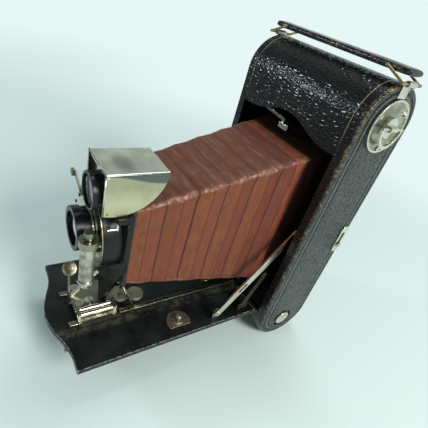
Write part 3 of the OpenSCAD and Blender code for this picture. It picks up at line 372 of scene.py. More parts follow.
inside_black, tree, shader = new_finish("inside black")
dust = cloud(tree, object_place(tree), 140.0)
dust_and_sheen = colour_mix(tree, ramp(tree, dust, 0.4, 0.8), (0.009, 0.009, 0.010, 1), (0.035, 0.033, 0.030, 1))
feed(tree, shader, {"Base Color": dust_and_sheen, "Roughness": ramp(tree, dust, 0.3, 0.7, 0.5, 0.75)})
for node in ("film_chassis", "bellows_rear_frame", "bellows_front_frame"):
    keep_node(node, inside_black)

# Spools, rollers and spool pins: turned wooden spools, nickel rollers that lead the film round the
# edges of the gate, and nickel spring pins that are pulled out to change a spool.
patina, given, result = new_group("patina",
    [("Place", "Vector", None), ("Scale", "Float", 60.0)], [("Smear", "Float"), ("Pits", "Float")])
spot_scale = times(patina, given["Scale"], 14.0)
spots = add(patina, "TexVoronoi", {"Vector": given["Place"], "Scale": spot_scale}).outputs["Distance"]
spread = cloud(patina, given["Place"], times(patina, given["Scale"], 2.5), 2.0)
spot_edge = number(patina, "SUBTRACT", spots, ramp(patina, spread, 0.48, 0.75, 0.0, 0.34))
feed(patina, result, {"Smear": cloud(patina, given["Place"], given["Scale"], 5.0, 0.6),
    "Pits": ramp(patina, spot_edge, -0.05, 0.03, 1.0, 0.0)})


def plated(name, bright, dull, pit_colour, low_gloss, high_gloss, scale=60.0, pit_share=0.7):
    """Old metal, bright and dull in smears, with dark pits that are sunk a little."""
    material, tree, shader = new_finish(name)
    old = add(tree, "Group", {"Place": object_place(tree), "Scale": scale}, node_tree=patina).outputs
    colour = colour_mix(tree, ramp(tree, old["Smear"], 0.35, 0.7), bright, dull)
    colour = colour_mix(tree, times(tree, old["Pits"], pit_share), colour, pit_colour)
    rough = ramp(tree, old["Smear"], 0.3, 0.75, low_gloss, high_gloss)
    rough = number(tree, "ADD", rough, times(tree, old["Pits"], 0.25))
    pitted = raised(tree, 0.25, 0.0002, number(tree, "SUBTRACT", 1.0, old["Pits"]))
    feed(tree, shader, {"Base Color": colour, "Metallic": 1.0, "Roughness": rough, "Normal": pitted})
    return material


nickel = plated("nickel plate", (0.74, 0.735, 0.63, 1), (0.56, 0.55, 0.42, 1), (0.14, 0.11, 0.055, 1),
    0.10, 0.32)
spool_wood, tree, shader = new_finish("spool wood")
stretched = add(tree, "Mapping", {"Vector": object_place(tree), "Scale": (60.0, 900.0, 900.0)}).outputs[0]
fibre = cloud(tree, stretched, 1.0)
feed(tree, shader, {"Base Color": colour_mix(tree, fibre, (0.16, 0.08, 0.035, 1), (0.40, 0.24, 0.12, 1)),
    "Roughness": ramp(tree, fibre, 0.3, 0.7, 0.45, 0.65)})
soft_edge = 0.0003
for node in ("takeup_spool", "supply_spool"):
    ease_edges(node, spool_wood, soft_edge)
for node in ("film_roller_lower", "film_roller_upper", "spool_pin_lower_near", "spool_pin_lower_far",
             "spool_pin_upper_far"):
    ease_edges(node, nickel, soft_edge)

# Back fittings: the disc of ruby glass through which the film's numbers are read, set in the back,
# and the sliding latch, a nickel button in a pressed nickel bezel.
ruby_glass, tree, shader = new_finish("ruby glass")
swirl = cloud(tree, object_place(tree), 300.0)
ruby = colour_mix(tree, swirl, (0.30, 0.006, 0.008, 1), (0.46, 0.014, 0.014, 1))
feed(tree, shader, {"Base Color": ruby, "Roughness": 0.06, "Transmission Weight": 0.4})
keep_node("ruby_window", ruby_glass)
fine_edge = 0.0002
for node in ("latch_bezel", "latch_button"):
    ease_edges(node, nickel, fine_edge)

# Winding key: a pressed nickel plate held to the side by three screws, darker where it is sunk as painted
# shade, with the key's shaft through it and the wing that folds flat between windings.
def screw_head(name, place, outward, radius, body, finish, turn=0.5):
    """A low screw head with a bevelled rim and a slot, seated on a face."""
    form = bmesh.new()
    bmesh.ops.create_cone(form, cap_ends=True, segments=20, radius1=radius, radius2=radius,
        depth=radius * 0.8)
    rim = [e for e in form.edges if all(v.co.z > 0 for v in e.verts)]
    bmesh.ops.bevel(form, geom=rim, offset=radius * 0.3, offset_type="OFFSET", affect="EDGES", segments=3,
        profile=0.5, material=-1)
    for side in (-1, 1):
        whole = form.verts[:] + form.edges[:] + form.faces[:]
        slot_edge = (side * radius * 0.15, 0, 0)
        bmesh.ops.bisect_plane(form, geom=whole, dist=1e-7, plane_co=slot_edge, plane_no=(1, 0, 0))
    groove = [f for f in form.faces if f.normal.z > 0.9 and abs(f.calc_center_median().x) < radius * 0.1]
    sunk = bmesh.ops.extrude_face_region(form, geom=groove)["geom"]
    bmesh.ops.delete(form, geom=groove, context="FACES")
    sunk = [v for v in sunk if isinstance(v, bmesh.types.BMVert)]
    bmesh.ops.translate(form, verts=sunk, vec=(0, 0, -radius * 0.3))
    bmesh.ops.rotate(form, verts=form.verts, matrix=Matrix.Rotation(turn, 3, "Z"))
    aim = Vector((0, 0, 1)).rotation_difference(Vector(outward)).to_matrix()
    bmesh.ops.rotate(form, verts=form.verts, matrix=aim)
    bmesh.ops.translate(form, verts=form.verts, vec=Vector(place) + Vector(outward) * radius * 0.35)
    bmesh.ops.recalc_face_normals(form, faces=form.faces)
    mesh = made_mesh(name, form)
    place_piece(name, mesh, finish, body, "nickel")
    for polygon in mesh.polygons:
        polygon.use_smooth = False


dull_nickel = plated("dull nickel", (0.44, 0.43, 0.35, 1), (0.20, 0.195, 0.145, 1), (0.07, 0.055, 0.03, 1),
    0.18, 0.42, 70.0)
plate_low, plate_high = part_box("key_plate")
# The sunk face takes the darker dull nickel as painted shade in the recess
ease_edges("key_plate", nickel, soft_edge, second=dull_nickel,
    second_where=lambda p, n: n.x > 0.5 and p.x < plate_high.x - 0.0004)
for node in ("winding_key", "key_wing"):
    ease_edges(node, nickel, soft_edge)
plate_middle = (plate_low + plate_high) / 2
screw_circle, screw_sunk, screw_radius = 0.0155, 0.0006, 0.0015
for count, angle in enumerate((0.6, 2.7, 4.8)):
    spoke = Vector((0, math.cos(angle), math.sin(angle))) * screw_circle
    spot = Vector((plate_high.x - screw_sunk, plate_middle.y, plate_middle.z)) + spoke
    screw_head(f"key_plate_screw_{count + 1}", spot, (1, 0, 0), screw_radius, "case", nickel, angle)

# Bed: a flat board in thin black leather, sunk inside its border and rubbed pale along its edge, with
# its hinge, the rails of the track, the stud of the catch, the tripod bush and the prop leg in front.
wear, given, result = new_group("edge wear",
    [("Place", "Vector", None), ("Width", "Float", 0.001), ("Patches", "Float", 120.0),
     ("Amount", "Float", 0.5)], [("Mask", "Float")])
rounded = add(wear, "Bevel", {"Radius": given["Width"]}, samples=6).outputs[0]
turned = along(wear, rounded, add(wear, "NewGeometry").outputs["Normal"])
edge = ramp(wear, turned, 0.90, 0.995, 1.0, 0.0)
bare_from = number(wear, "SUBTRACT", 0.78, times(wear, given["Amount"], 0.5))
patches = cloud(wear, given["Place"], given["Patches"], 4.0, 0.65)
bare = ramp(wear, patches, bare_from, number(wear, "ADD", bare_from, 0.16))
feed(wear, result, {"Mask": times(wear, edge, bare)})

bed_leather, tree, shader = new_finish("bed leather")
place = object_place(tree)
pebble = add(tree, "Group", {"Place": place, "Cells": 950.0}, node_tree=grain).outputs
rubbing = {"Place": place, "Width": 0.0012, "Patches": 620.0, "Amount": 0.72}
rubbed = add(tree, "Group", rubbing, node_tree=wear).outputs["Mask"]
tone = cloud(tree, place, 55.0)
base = colour_mix(tree, ramp(tree, tone, 0.35, 0.75), (0.004, 0.0055, 0.006, 1), (0.013, 0.0165, 0.017, 1))
# Grease and brass dust from the sliding foot lie along the track
track_x = 0.021
track = ramp(tree, distance_from(tree, axes(tree, place)["X"], track_x), 0.0015, 0.006, 1.0, 0.0)
track = times(tree, track, ramp(tree, cloud(tree, place, 160.0), 0.40, 0.68))
base = colour_mix(tree, times(tree, track, 0.8), base, (0.085, 0.075, 0.045, 1))
feed(tree, shader, {"Base Color": colour_mix(tree, rubbed, base, (0.50, 0.49, 0.43, 1)),
    "Roughness": ramp(tree, tone, 0.3, 0.7, 0.28, 0.5), "Specular IOR Level": 0.3,
    "Normal": raised(tree, 0.4, 0.0003, pebble["Height"])})
border_width, sunk_depth = 0.0042, 0.0003
form = merged_copy("bed_plate")
top_face = max(form.faces, key=lambda f: f.normal.z * f.calc_area())
bmesh.ops.inset_region(form, faces=[top_face], thickness=border_width, depth=-sunk_depth,
    use_even_offset=True)
ease_edges("bed_plate", bed_leather, leather_edge, 3, form)


def enamelled(name, colour, chip_colour, gloss, chips, chip_width=0.0006):
    """Black or coloured enamel, dusty in places, chipped to the metal along its edges."""
    material, tree, shader = new_finish(name)
    place = object_place(tree)
    chipping = {"Place": place, "Width": chip_width, "Patches": 240.0, "Amount": chips}
    chipped = add(tree, "Group", chipping, node_tree=wear).outputs["Mask"]
    dust = cloud(tree, place, 90.0)
    dust_and_sheen = [2.0 * part + 0.003 for part in colour[:3]] + [1]
    base = colour_mix(tree, ramp(tree, dust, 0.4, 0.75), colour, dust_and_sheen)
    feed(tree, shader, {"Base Color": colour_mix(tree, chipped, base, chip_colour),
        "Metallic": times(tree, chipped, 0.9), "Specular IOR Level": 0.28,
        "Roughness": ramp(tree, dust, 0.3, 0.7, gloss, gloss + 0.2)})
    return material


enamel = enamelled("black enamel", (0.005, 0.0055, 0.0055, 1), (0.42, 0.40, 0.31, 1), 0.24, 0.45)
brass = plated("old brass", (0.56, 0.43, 0.20, 1), (0.32, 0.245, 0.11, 1), (0.12, 0.08, 0.03, 1), 0.2, 0.45)
stud_nickel = plated("stud nickel", (0.60, 0.57, 0.44, 1), (0.13, 0.11, 0.075, 1), (0.05, 0.04, 0.02, 1),
    0.36, 0.60, 170.0)
ease_edges("bed_hinge", enamel, soft_edge)
for node in ("leg_hinge", "prop_leg"):
    ease_edges(node, nickel, fine_edge)
ease_edges("bed_stud", stud_nickel, fine_edge)
ease_edges("track_rails", dull_nickel, soft_edge)
ease_edges("bed_bush", brass, fine_edge)

# Struts: nickelled straps that hold the bed open, riveted at both ends, with short braces in olive
# enamel, and the tarnished catch spring above the bellows with its bright tip.
olive_enamel = enamelled("olive enamel", (0.030, 0.029, 0.018, 1), (0.36, 0.34, 0.26, 1), 0.3, 0.5)
tarnished = plated("tarnished nickel", (0.33, 0.32, 0.235, 1), (0.19, 0.18, 0.12, 1), (0.08, 0.07, 0.04, 1),
    0.22, 0.45, 60.0, 0.35)
for node in ("strut_near", "strut_far", "strut_rivets"):
    ease_edges(node, nickel, fine_edge)
ease_edges("strut_braces", olive_enamel, soft_edge)
tip_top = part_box("catch_spring")[0].z + 0.0050
ease_edges("catch_spring", tarnished, fine_edge, second=nickel, second_where=lambda p, n: p.z < tip_top)

# Bellows: red leather over stiffened panels, folded in pleats that alternate in and out, tapering
# from the film gate to the lens board. Its corners are rubbed pale, and it sags a little below.
bellows_front_y, bellows_back_y = -0.093, 0.0745
bellows_length = bellows_back_y - bellows_front_y
front_half_width, back_half_width = 0.0285, 0.038
front_half_height, back_half_height = 0.0315, 0.07135
front_middle_z, back_middle_z = 0.0805, 0.0895
flare_from, flare_width = 0.88, 0.00475
pleat_depth, sag_depth = 0.0018, 0.0032
low_side, top_side = 1, 3
side_steps, corner_steps, corner_radius, stiff_corner = 12, 4, 0.0042, 0.009
first_panel, panel = 0.0090, 0.01035
creases = [0.0, first_panel]
while creases[-1] + 1.2 * panel < bellows_length:
    creases.append(creases[-1] + panel)
creases.append(bellows_length)


def between(low, high, share):
    return low + (high - low) * share


def bellows_ring(distance, fold):
    """Points round the bellows at a distance from its front end, each with how far round it lies."""
    share = distance / bellows_length
    half_width = between(front_half_width, back_half_width, min(1.0, share / flare_from))
    half_width += flare_width * max(0.0, (share - flare_from) / (1 - flare_from))
    half_height = between(front_half_height, back_half_height, share)
    middle = between(front_middle_z, back_middle_z, share)
    ring = []
    for side in range(4):
        half_side, out = (half_height, half_width) if side % 2 == 0 else (half_width, half_height)
        quarter = Matrix.Rotation(-side * math.pi / 2, 2)
        for step in range(side_steps + 1):
            off = (2 * step / side_steps - 1) * (half_side - corner_radius)
            dip = fold * pleat_depth * (0.3 + 0.7 * min(1.0, (half_side - abs(off)) / stiff_corner))
            dip *= 0.5 if side == top_side else 1.0
            sag = 0.0
            if side == low_side:
                sag = sag_depth * math.sin(math.pi * min(1.0, share * 1.25)) * (1 - (off / half_side) ** 2)
            ring.append((quarter @ Vector((out - dip + sag, -off)), side + 0.06 + 0.88 * step / side_steps))
        for step in range(1, corner_steps):
            angle = math.pi / 2 * step / corner_steps
            hub = Vector((out - corner_radius, corner_radius - half_side))
            hub *= 1 - fold * pleat_depth * 0.3 / out
            spot = hub + Vector((math.cos(angle), -math.sin(angle))) * corner_radius
            ring.append((quarter @ spot, side + 0.94 + 0.12 * step / corner_steps))
    y = bellows_front_y + distance
    return [(Vector((p.x, y, middle + p.y)), around) for p, around in ring]


panel_parts = (0.0, 0.07, 0.28, 0.5, 0.72, 0.93)
rows = []
for index in range(len(creases) - 1):
    for part in panel_parts:
        inward = part if index % 2 == 1 else 1 - part
        bowed = inward + 0.05 * math.sin(2 * math.pi * inward)
        rows.append((between(creases[index], creases[index + 1], part), bowed, index + part))
rows.append((bellows_length, 0.5, len(creases) - 1))
ring = bellows_ring(*rows[0][:2])
around = [turn for _, turn in ring]
form = bmesh.new()
spot_of, row_of = form.verts.layers.int.new("spot"), form.verts.layers.int.new("row")
fold_map = form.loops.layers.uv.new("folds")
first_ring = [form.verts.new(point) for point, _ in ring]
for spot, vert in enumerate(first_ring):
    vert[spot_of] = spot
edges = [form.edges.new((first_ring[spot - 1], vert)) for spot, vert in enumerate(first_ring)]
for row, (distance, fold, _) in enumerate(rows[1:], 1):
    grown = bmesh.ops.extrude_edge_only(form, edges=edges)["geom"]
    fresh = {v for v in grown if isinstance(v, bmesh.types.BMVert)}
    edges = [e for e in grown if isinstance(e, bmesh.types.BMEdge) and set(e.verts) <= fresh]
    ring = bellows_ring(distance, fold)
    for vert in fresh:
        vert.co = ring[vert[spot_of]][0]
        vert[row_of] = row
for face in form.faces:
    closing = {loop.vert[spot_of] for loop in face.loops} == {0, len(around) - 1}
    for loop in face.loops:
        spot = loop.vert[spot_of]
        turn = 4 + around[0] if closing and spot == 0 else around[spot]
        loop[fold_map].uv = (turn, rows[loop.vert[row_of]][2])
unevenness, lumps = 0.00028, 90
noise.seed_set(7)
for vert in form.verts:
    vert.co += unevenness * noise.noise_vector(vert.co * lumps)
bmesh.ops.recalc_face_normals(form, faces=form.faces)
split_panel = 4
split_row = len(panel_parts) * split_panel
lengths = {"front": form, "rear": form.copy()}
meshes = {}
for length, half in lengths.items():
    row_layer = half.verts.layers.int["row"]
    behind = {f for f in half.faces if min(v[row_layer] for v in f.verts) >= split_row}
    other = [f for f in half.faces if (f in behind) == (length == "front")]
    bmesh.ops.delete(half, geom=other, context="FACES")
    meshes[length] = made_mesh(f"bellows_{length}_pleats", half)

# Its leather: the map counts sides round the bellows in X, the top being side 3, and panels in Y
red_leather, tree, shader = new_finish("red bellows leather")
uv = axes(tree, add(tree, "UVMap", uv_map="folds").outputs[0])
place = object_place(tree)
panel_number = number(tree, "FLOOR", uv["Y"])
side_number = number(tree, "FLOOR", uv["X"])
one_panel = add(tree, "CombineXYZ", {0: panel_number, 1: side_number}).outputs[0]
chance = add(tree, "TexWhiteNoise", {0: one_panel}, noise_dimensions="2D").outputs["Value"]
shaded_facing = number(tree, "MODULO", panel_number, 2.0)
to_valley = number(tree, "MODULO", number(tree, "ADD", uv["Y"], 1.0), 2.0)
to_valley = distance_from(tree, to_valley, 1.0)
to_corner = number(tree, "FRACT", number(tree, "ADD", uv["X"], 0.5))
to_corner = distance_from(tree, to_corner, 0.5)
on_top = ramp(tree, uv["X"], 2.96, 3.04)
on_top = times(tree, on_top, ramp(tree, uv["X"], 3.96, 4.04, 1.0, 0.0))


def fold_place(round_scale, along_scale, layer=0.0):
    across, onwards = times(tree, uv["X"], round_scale), times(tree, uv["Y"], along_scale)
    return add(tree, "CombineXYZ", {0: across, 1: onwards, 2: layer}).outputs[0]


streaks = cloud(tree, fold_place(4.0, 4.2), 1.0, 2.0)
mottle = cloud(tree, fold_place(9.0, 2.6, 3.0), 1.0, 5.0, 0.62)
bands = cloud(tree, fold_place(1.3, 2.3, 7.0), 1.0, 2.0)
fine_mottle = cloud(tree, place, 420.0, 3.0, 0.6)
# Panels are tan and pink in turn as painted light and shade of panels facing two ways, browner on top,
# one deep red, and the last before the case painted brighter as painted light
tan = colour_mix(tree, chance, (0.190, 0.056, 0.021, 1), (0.240, 0.076, 0.029, 1))
pink = colour_mix(tree, chance, (0.178, 0.046, 0.024, 1), (0.212, 0.058, 0.029, 1))
# Alternate panels painted tan and pink: painted light and shade of their two facings
skin = colour_mix(tree, shaded_facing, tan, pink)
bands = ramp(tree, bands, 0.40, 0.60)
brown_top = colour_mix(tree, bands, (0.195, 0.102, 0.072, 1), (0.155, 0.049, 0.022, 1))
dark_streaks = ramp(tree, streaks, 0.38, 0.60, 0.65, 0.0)
brown_top = colour_mix(tree, dark_streaks, brown_top, (0.092, 0.037, 0.024, 1))
skin = colour_mix(tree, times(tree, on_top, 0.85), skin, brown_top)
deep_panel = number(tree, "COMPARE", panel_number, 10.0, 0.5)
skin = colour_mix(tree, times(tree, deep_panel, 0.55), skin, (0.115, 0.024, 0.030, 1))
# The last panel before the case is painted brighter orange: painted light
lit_panel = number(tree, "COMPARE", panel_number, 11.0, 0.5)
skin = colour_mix(tree, times(tree, lit_panel, 0.6), skin, (0.36, 0.100, 0.048, 1))
skin = colour_mix(tree, ramp(tree, mottle, 0.32, 0.60, 0.75, 0.0), skin, (0.130, 0.036, 0.022, 1))
skin = colour_mix(tree, ramp(tree, streaks, 0.55, 0.78, 0.0, 0.35), skin, (0.255, 0.108, 0.060, 1))
skin = colour_mix(tree, ramp(tree, fine_mottle, 0.52, 0.75, 0.0, 0.35), skin, (0.120, 0.036, 0.030, 1))
# Dark lines along the folds, fainter on top: thin crease marks on the ridges and wider painted shade in
# the valleys; and a dark line along the hem of the near side
on_flank = number(tree, "SUBTRACT", 1.0, times(tree, on_top, 0.6))
ridge_line = times(tree, ramp(tree, to_valley, 0.93, 0.99, 0.0, 0.8), on_flank)
skin = colour_mix(tree, ridge_line, skin, (0.080, 0.022, 0.020, 1))
valley_edge = number(tree, "ADD", to_valley, ramp(tree, fine_mottle, 0.3, 0.7, -0.015, 0.02))
# Painted shade along the valleys
valley_shade = times(tree, ramp(tree, valley_edge, 0.02, 0.105, 0.9, 0.0), on_flank)
skin = colour_mix(tree, valley_shade, skin, (0.055, 0.014, 0.013, 1))
hem = times(tree, thin_line(tree, uv["X"], 0.925, 0.010), 0.6)
skin = colour_mix(tree, hem, skin, (0.110, 0.032, 0.028, 1))
# Corners rubbed pale in patches
rub_patch = times(tree, cloud(tree, place, 45.0), 0.5)
rub_patch = number(tree, "ADD", cloud(tree, place, 190.0, 5.0, 0.7), rub_patch)
rub_width = ramp(tree, cloud(tree, place, 75.0, 2.0), 0.36, 0.66, 0.012, 0.085)
rubbed = ramp(tree, to_corner, 0.006, rub_width, 1.0, 0.0)
rubbed = times(tree, rubbed, ramp(tree, rub_patch, 0.68, 0.96))
skin = colour_mix(tree, times(tree, rubbed, 0.9), skin, (0.55, 0.34, 0.26, 1))
# Leather that lies inside the case is painted nearly black: painted shadow cast by the case
case_shadow = ramp(tree, axes(tree, place)["Y"], 0.0282, 0.0318, 0.0, 0.94)
skin = colour_mix(tree, case_shadow, skin, (0.010, 0.004, 0.0035, 1))
pores = add(tree, "TexVoronoi", {"Vector": place, "Scale": 1500.0}, feature="DISTANCE_TO_EDGE")
pores = times(tree, pores.outputs["Distance"], 0.5)
height = number(tree, "ADD", pores, number(tree, "ADD", mottle, streaks))
feed(tree, shader, {"Base Color": skin, "Roughness": ramp(tree, mottle, 0.3, 0.7, 0.42, 0.62),
    "Specular IOR Level": 0.28, "Normal": raised(tree, 0.35, 0.0004, height)})
# The bellows is cut in two at one crease: the front pleats ride on the standard, those behind stay with
# the case. The shares of each that would stay open when the standard goes home are worked out but not used.
standard_travel, loose_length = 0.138, 0.0175
split_length = creases[split_panel]
rear_length = bellows_length - split_length
packed_length = bellows_length - standard_travel - loose_length
for length, body, end_y, keep in (("front", "standard", bellows_front_y, loose_length / split_length),
                                  ("rear", "case", bellows_back_y, packed_length / rear_length)):
    name = f"bellows_{length}_pleats"
    pleats = place_piece(name, meshes[length], red_leather, body, "bellows_leather", "bellows")
    thickness = pleats.modifiers.new("leather", "SOLIDIFY")
    thickness.thickness = 0.0007
    thickness.offset = -1.0
    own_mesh(pleats)

# Standard: a nickel foot that slides on the rails, guide rods, a clamp lever, a pointer, screws and
# a finger tab, carrying the black enamelled frame and lens board.
lever_nickel = plated("lever nickel", (0.54, 0.53, 0.42, 1), (0.33, 0.32, 0.24, 1), (0.08, 0.065, 0.035, 1),
    0.42, 0.62)
for node in ("foot_rods", "focus_pointer", "foot_screws"):
    ease_edges(node, nickel, fine_edge)
ease_edges("standard_foot", dull_nickel, soft_edge)
ease_edges("clamp_lever", lever_nickel, soft_edge)
ease_edges("pull_tab", tarnished, soft_edge)
for node in ("standard_frame", "lens_board"):
    ease_edges(node, enamel, soft_edge)

# Shutter and lens: a black drum behind a bright face with a brass edge, the air cylinder and its
# piston, the release lever, the dials, the lens in its barrel and the rubbed rim in front.
rubbed_enamel = enamelled("rubbed enamel", (0.006, 0.006, 0.007, 1), (0.62, 0.61, 0.54, 1), 0.16, 1.5,
    0.00016)
pitted_nickel = plated("pitted nickel", (0.60, 0.59, 0.51, 1), (0.27, 0.245, 0.17, 1),
    (0.10, 0.075, 0.04, 1), 0.30, 0.55, 150.0, 0.95)
tarnished_edge = plated("tarnished edge", (0.44, 0.40, 0.24, 1), (0.26, 0.235, 0.12, 1),
    (0.08, 0.07, 0.03, 1), 0.22, 0.45)
drum_edge = 0.0004
ease_edges("shutter_case", enamel, drum_edge)
ease_edges("shutter_face", nickel, fine_edge, second=tarnished_edge, second_where=lambda p, n: abs(n.y) < 0.5)
for node in ("lens_barrel", "lens_ring"):
    ease_edges(node, rubbed_enamel, soft_edge)
for node in ("speed_dial", "iris_pointer"):
    ease_edges(node, nickel, fine_edge)
ease_edges("release_lever", tarnished, fine_edge)
face_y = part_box("shutter_face")[0].y
for count, (x, z) in enumerate(((-0.0138, 0.0985), (-0.0210, 0.0890), (0.0225, 0.0900), (0.0, 0.0600))):
    name = f"shutter_screw_{count + 1}"
    screw_head(name, (x, face_y, z), (0, -1, 0), 0.0011, "standard", enamel, count)
cap_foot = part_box("air_cylinder")[1].z - 0.0052
ease_edges("air_cylinder", pitted_nickel, drum_edge, second=tarnished,
    second_where=lambda p, n: p.z > cap_foot)
ease_edges("release_piston", tarnished, soft_edge)
lens_glass, tree, shader = new_finish("lens glass")
film = cloud(tree, object_place(tree), 260.0)
feed(tree, shader, {"Base Color": colour_mix(tree, film, (0.80, 0.88, 0.92, 1), (0.92, 0.95, 0.96, 1)),
    "Roughness": 0.03, "Transmission Weight": 0.9, "IOR": 1.52})
keep_node("lenses", lens_glass)

# Finder: a black box and tube on a swinging bracket, with its glasses, its mirror and the nickel
# hood, one sheet folded over the top with round bottomed cheeks and a beaded front edge.
for node in ("finder_body", "finder_tube"):
    ease_edges(node, rubbed_enamel, soft_edge)
wire_top = 0.1075
ease_edges("finder_bracket", enamel, fine_edge, second=nickel, second_where=lambda p, n: p.z < wire_top)
ease_edges("finder_front", nickel, fine_edge)
silvering, tree, shader = new_finish("silvered mirror")
spots = ramp(tree, cloud(tree, object_place(tree), 300.0), 0.6, 0.75)
feed(tree, shader, {"Base Color": colour_mix(tree, spots, (0.82, 0.84, 0.84, 1), (0.30, 0.28, 0.24, 1)),
    "Metallic": 1.0, "Roughness": 0.05})
keep_node("finder_glasses", lens_glass)
keep_node("finder_mirror", silvering)


def plain_colour(finish):
    """A finish's nodes, its shader and the colour that feeds it, for marks of one piece's own."""
    shader = finish.node_tree.nodes["Principled BSDF"]
    return finish.node_tree, shader, shader.inputs["Base Color"].links[0].from_socket


# The hood's top has a darker oval; its cheeks are tinted yellow as a painted reflection, darker towards the
# fold as painted shade, with a painted dark reflected band below the fold
hood_nickel = plated("hood nickel", (0.64, 0.63, 0.53, 1), (0.47, 0.46, 0.355, 1), (0.20, 0.17, 0.10, 1),
    0.10, 0.30, 60.0, 0.12)
tree, shader, clean = plain_colour(hood_nickel)
oval_middle, oval_shape = (0.0185, -0.1010, 0.0), (62.0, 120.0, 0.0)
oval = add(tree, "VectorMath", {0: object_place(tree), 1: oval_middle}, operation="SUBTRACT").outputs[0]
oval = add(tree, "VectorMath", {0: oval, 1: oval_shape}, operation="MULTIPLY").outputs[0]
oval = add(tree, "VectorMath", {0: oval}, operation="LENGTH").outputs["Value"]
darker_oval_colour = colour_mix(tree, ramp(tree, oval, 0.25, 1.0, 0.6, 0.0), clean, (0.16, 0.16, 0.13, 1))
feed(tree, shader, {"Base Color": darker_oval_colour})
# The cheeks' yellow tint is a painted reflection
cheek_reflection_nickel = plated("cheek nickel, painted reflection", (0.63, 0.575, 0.39, 1), (0.52, 0.465, 0.29, 1),
    (0.28, 0.23, 0.12, 1), 0.12, 0.32, 60.0, 0.12)
tree, shader, clean = plain_colour(cheek_reflection_nickel)
on_cheek = axes(tree, object_place(tree))
# Painted shade: the cheeks darken towards the fold
shaded = colour_mix(tree, ramp(tree, on_cheek["Z"], 0.1190, 0.1345, 0.0, 0.5), clean, (0.24, 0.24, 0.18, 1))
# Painted reflection: a dark bluish band below the fold, its edge curving along the cheek
reflected_band_foot = ramp(tree, on_cheek["Y"], -0.1180, -0.0780, 0.1385, 0.1318)
reflected_dark_band = ramp(tree, number(tree, "SUBTRACT", on_cheek["Z"], reflected_band_foot), -0.0006, 0.0010, 0.0, 0.85)
feed(tree, shader, {"Base Color": colour_mix(tree, reflected_dark_band, shaded, (0.085, 0.105, 0.110, 1))})
form = merged_copy("finder_hood")
hood_low, hood_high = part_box("finder_hood")
folds = [e for e in form.edges if abs(e.verts[0].co.y - e.verts[1].co.y) > 0.02
         and min(v.co.z for v in e.verts) > hood_high.z - 0.0001]
bmesh.ops.bevel(form, geom=folds, offset=0.0011, offset_type="OFFSET", affect="EDGES", segments=4,
    profile=0.5, material=-1)
sheet_edge = 0.00015
ease_edges("finder_hood", hood_nickel, sheet_edge, 2, form, cheek_reflection_nickel, lambda p, n: abs(n.x) > 0.7)
rivet_y, rivet_z, rivet_radius = -0.1118, 0.1141, 0.0007
for name, side, x in (("hood_rivet_near", 1, hood_high.x), ("hood_rivet_far", -1, hood_low.x)):
    spot = (x - 0.0002 * side, rivet_y, rivet_z)
    screw_head(name, spot, (side, 0, 0), rivet_radius, "lid", tarnished)

# The bead round the hood's front edge is a wire, drawn out along four points with mitred corners
bead_radius, bead_sides = 0.0005, 8
lip_y, lip_z, lip_foot = hood_low.y + 0.0004, hood_high.z - 0.0004, hood_low.z + 0.0008
lip_left, lip_right = hood_low.x + 0.0003, hood_high.x - 0.0003
lip = [Vector((x, lip_y, z)) for x, z in ((lip_left, lip_foot), (lip_left, lip_z), (lip_right, lip_z),
                                          (lip_right, lip_foot))]
form = bmesh.new()
start = Vector((0, 0, 1)).rotation_difference(lip[1] - lip[0]).to_matrix().to_4x4()
start.translation = lip[0]
bmesh.ops.create_circle(form, cap_ends=True, segments=bead_sides, radius=bead_radius, matrix=start)
edges = form.edges[:]
for k in range(1, len(lip)):
    ahead = (lip[k] - lip[k - 1]).normalized()
    after = (lip[k + 1] - lip[k]).normalized() if k + 1 < len(lip) else ahead
    mitre = (ahead + after).normalized()
    grown = bmesh.ops.extrude_edge_only(form, edges=edges)["geom"]
    fresh = {v for v in grown if isinstance(v, bmesh.types.BMVert)}
    edges = [e for e in grown if isinstance(e, bmesh.types.BMEdge) and set(e.verts) <= fresh]
    for vert in fresh:
        vert.co += ahead * ((lip[k] - vert.co).dot(mitre) / ahead.dot(mitre))
bmesh.ops.holes_fill(form, edges=edges, sides=bead_sides)
bmesh.ops.recalc_face_normals(form, faces=form.faces)
place_piece("hood_bead", made_mesh("hood_bead", form), nickel, "lid", "nickel")

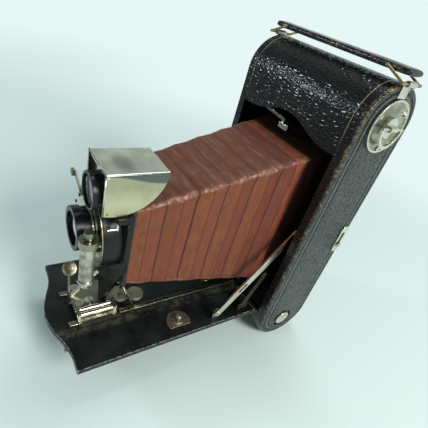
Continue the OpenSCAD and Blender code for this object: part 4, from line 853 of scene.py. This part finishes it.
# Carrying strap: a padded leather strip, crowned between its sewn edges and rubbed brown along
# them, hung on brass wire loops from nickel lugs on the case's sides. The brass tripod bush of the
# far side is finished with the loops.
strap_low, strap_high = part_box("handle_strap")
strap_middle, strap_size = (strap_low + strap_high) / 2, strap_high - strap_low
form = bmesh.new()
bmesh.ops.create_cube(form, size=1.0)
for axis, cuts in ((0, 40), (1, 10)):
    lines = [e for e in form.edges if abs(e.verts[0].co[axis] - e.verts[1].co[axis]) > 0.5]
    bmesh.ops.subdivide_edges(form, edges=lines, cuts=cuts, use_grid_fill=True)
tip_from, tip_length = 0.90, 0.10
for vert in form.verts:
    onwards, across = 2 * vert.co.x, 2 * vert.co.y
    tip = max(0.0, abs(onwards) - tip_from) / tip_length
    crown = 0.66 + 0.34 * math.sqrt(max(0.0, 1 - across * across))
    crown *= 1 - 0.18 * tip * tip
    ripple = 0.02 * noise.noise(Vector((onwards * 9, across * 2, vert.co.z)))
    vert.co = Vector((onwards / 2, across / 2 * (1 - 0.22 * tip ** 3), vert.co.z * (crown + ripple) * 0.97))
bmesh.ops.scale(form, verts=form.verts, vec=strap_size)
bmesh.ops.translate(form, verts=form.verts, vec=strap_middle)
strap_leather, tree, shader = new_finish("strap leather")
place = object_place(tree)
pebble = add(tree, "Group", {"Place": place, "Cells": 1100.0}, node_tree=grain).outputs
tone = cloud(tree, place, 70.0)
base = colour_mix(tree, ramp(tree, tone, 0.4, 0.8), (0.007, 0.007, 0.008, 1), (0.020, 0.018, 0.016, 1))
strap_middle_y = 0.056
worn = ramp(tree, distance_from(tree, axes(tree, place)["Y"], strap_middle_y), 0.0074, 0.0088)
worn = times(tree, worn, ramp(tree, cloud(tree, place, 260.0), 0.52, 0.66))
feed(tree, shader, {"Base Color": colour_mix(tree, worn, base, (0.13, 0.075, 0.032, 1)),
    "Roughness": ramp(tree, tone, 0.3, 0.7, 0.16, 0.34),
    "Normal": raised(tree, 0.3, 0.0002, pebble["Height"])})
mesh = made_mesh("strap_leather", form)
strap = place_piece("strap_leather", mesh, strap_leather, "case", "leather_black", "handle_strap")
smooth = strap.modifiers.new("rounded", "SUBSURF")
smooth.levels = smooth.render_levels = 1
for node in ("handle_loops", "side_bush"):
    ease_edges(node, brass, fine_edge)
ease_edges("handle_lugs", nickel, fine_edge)
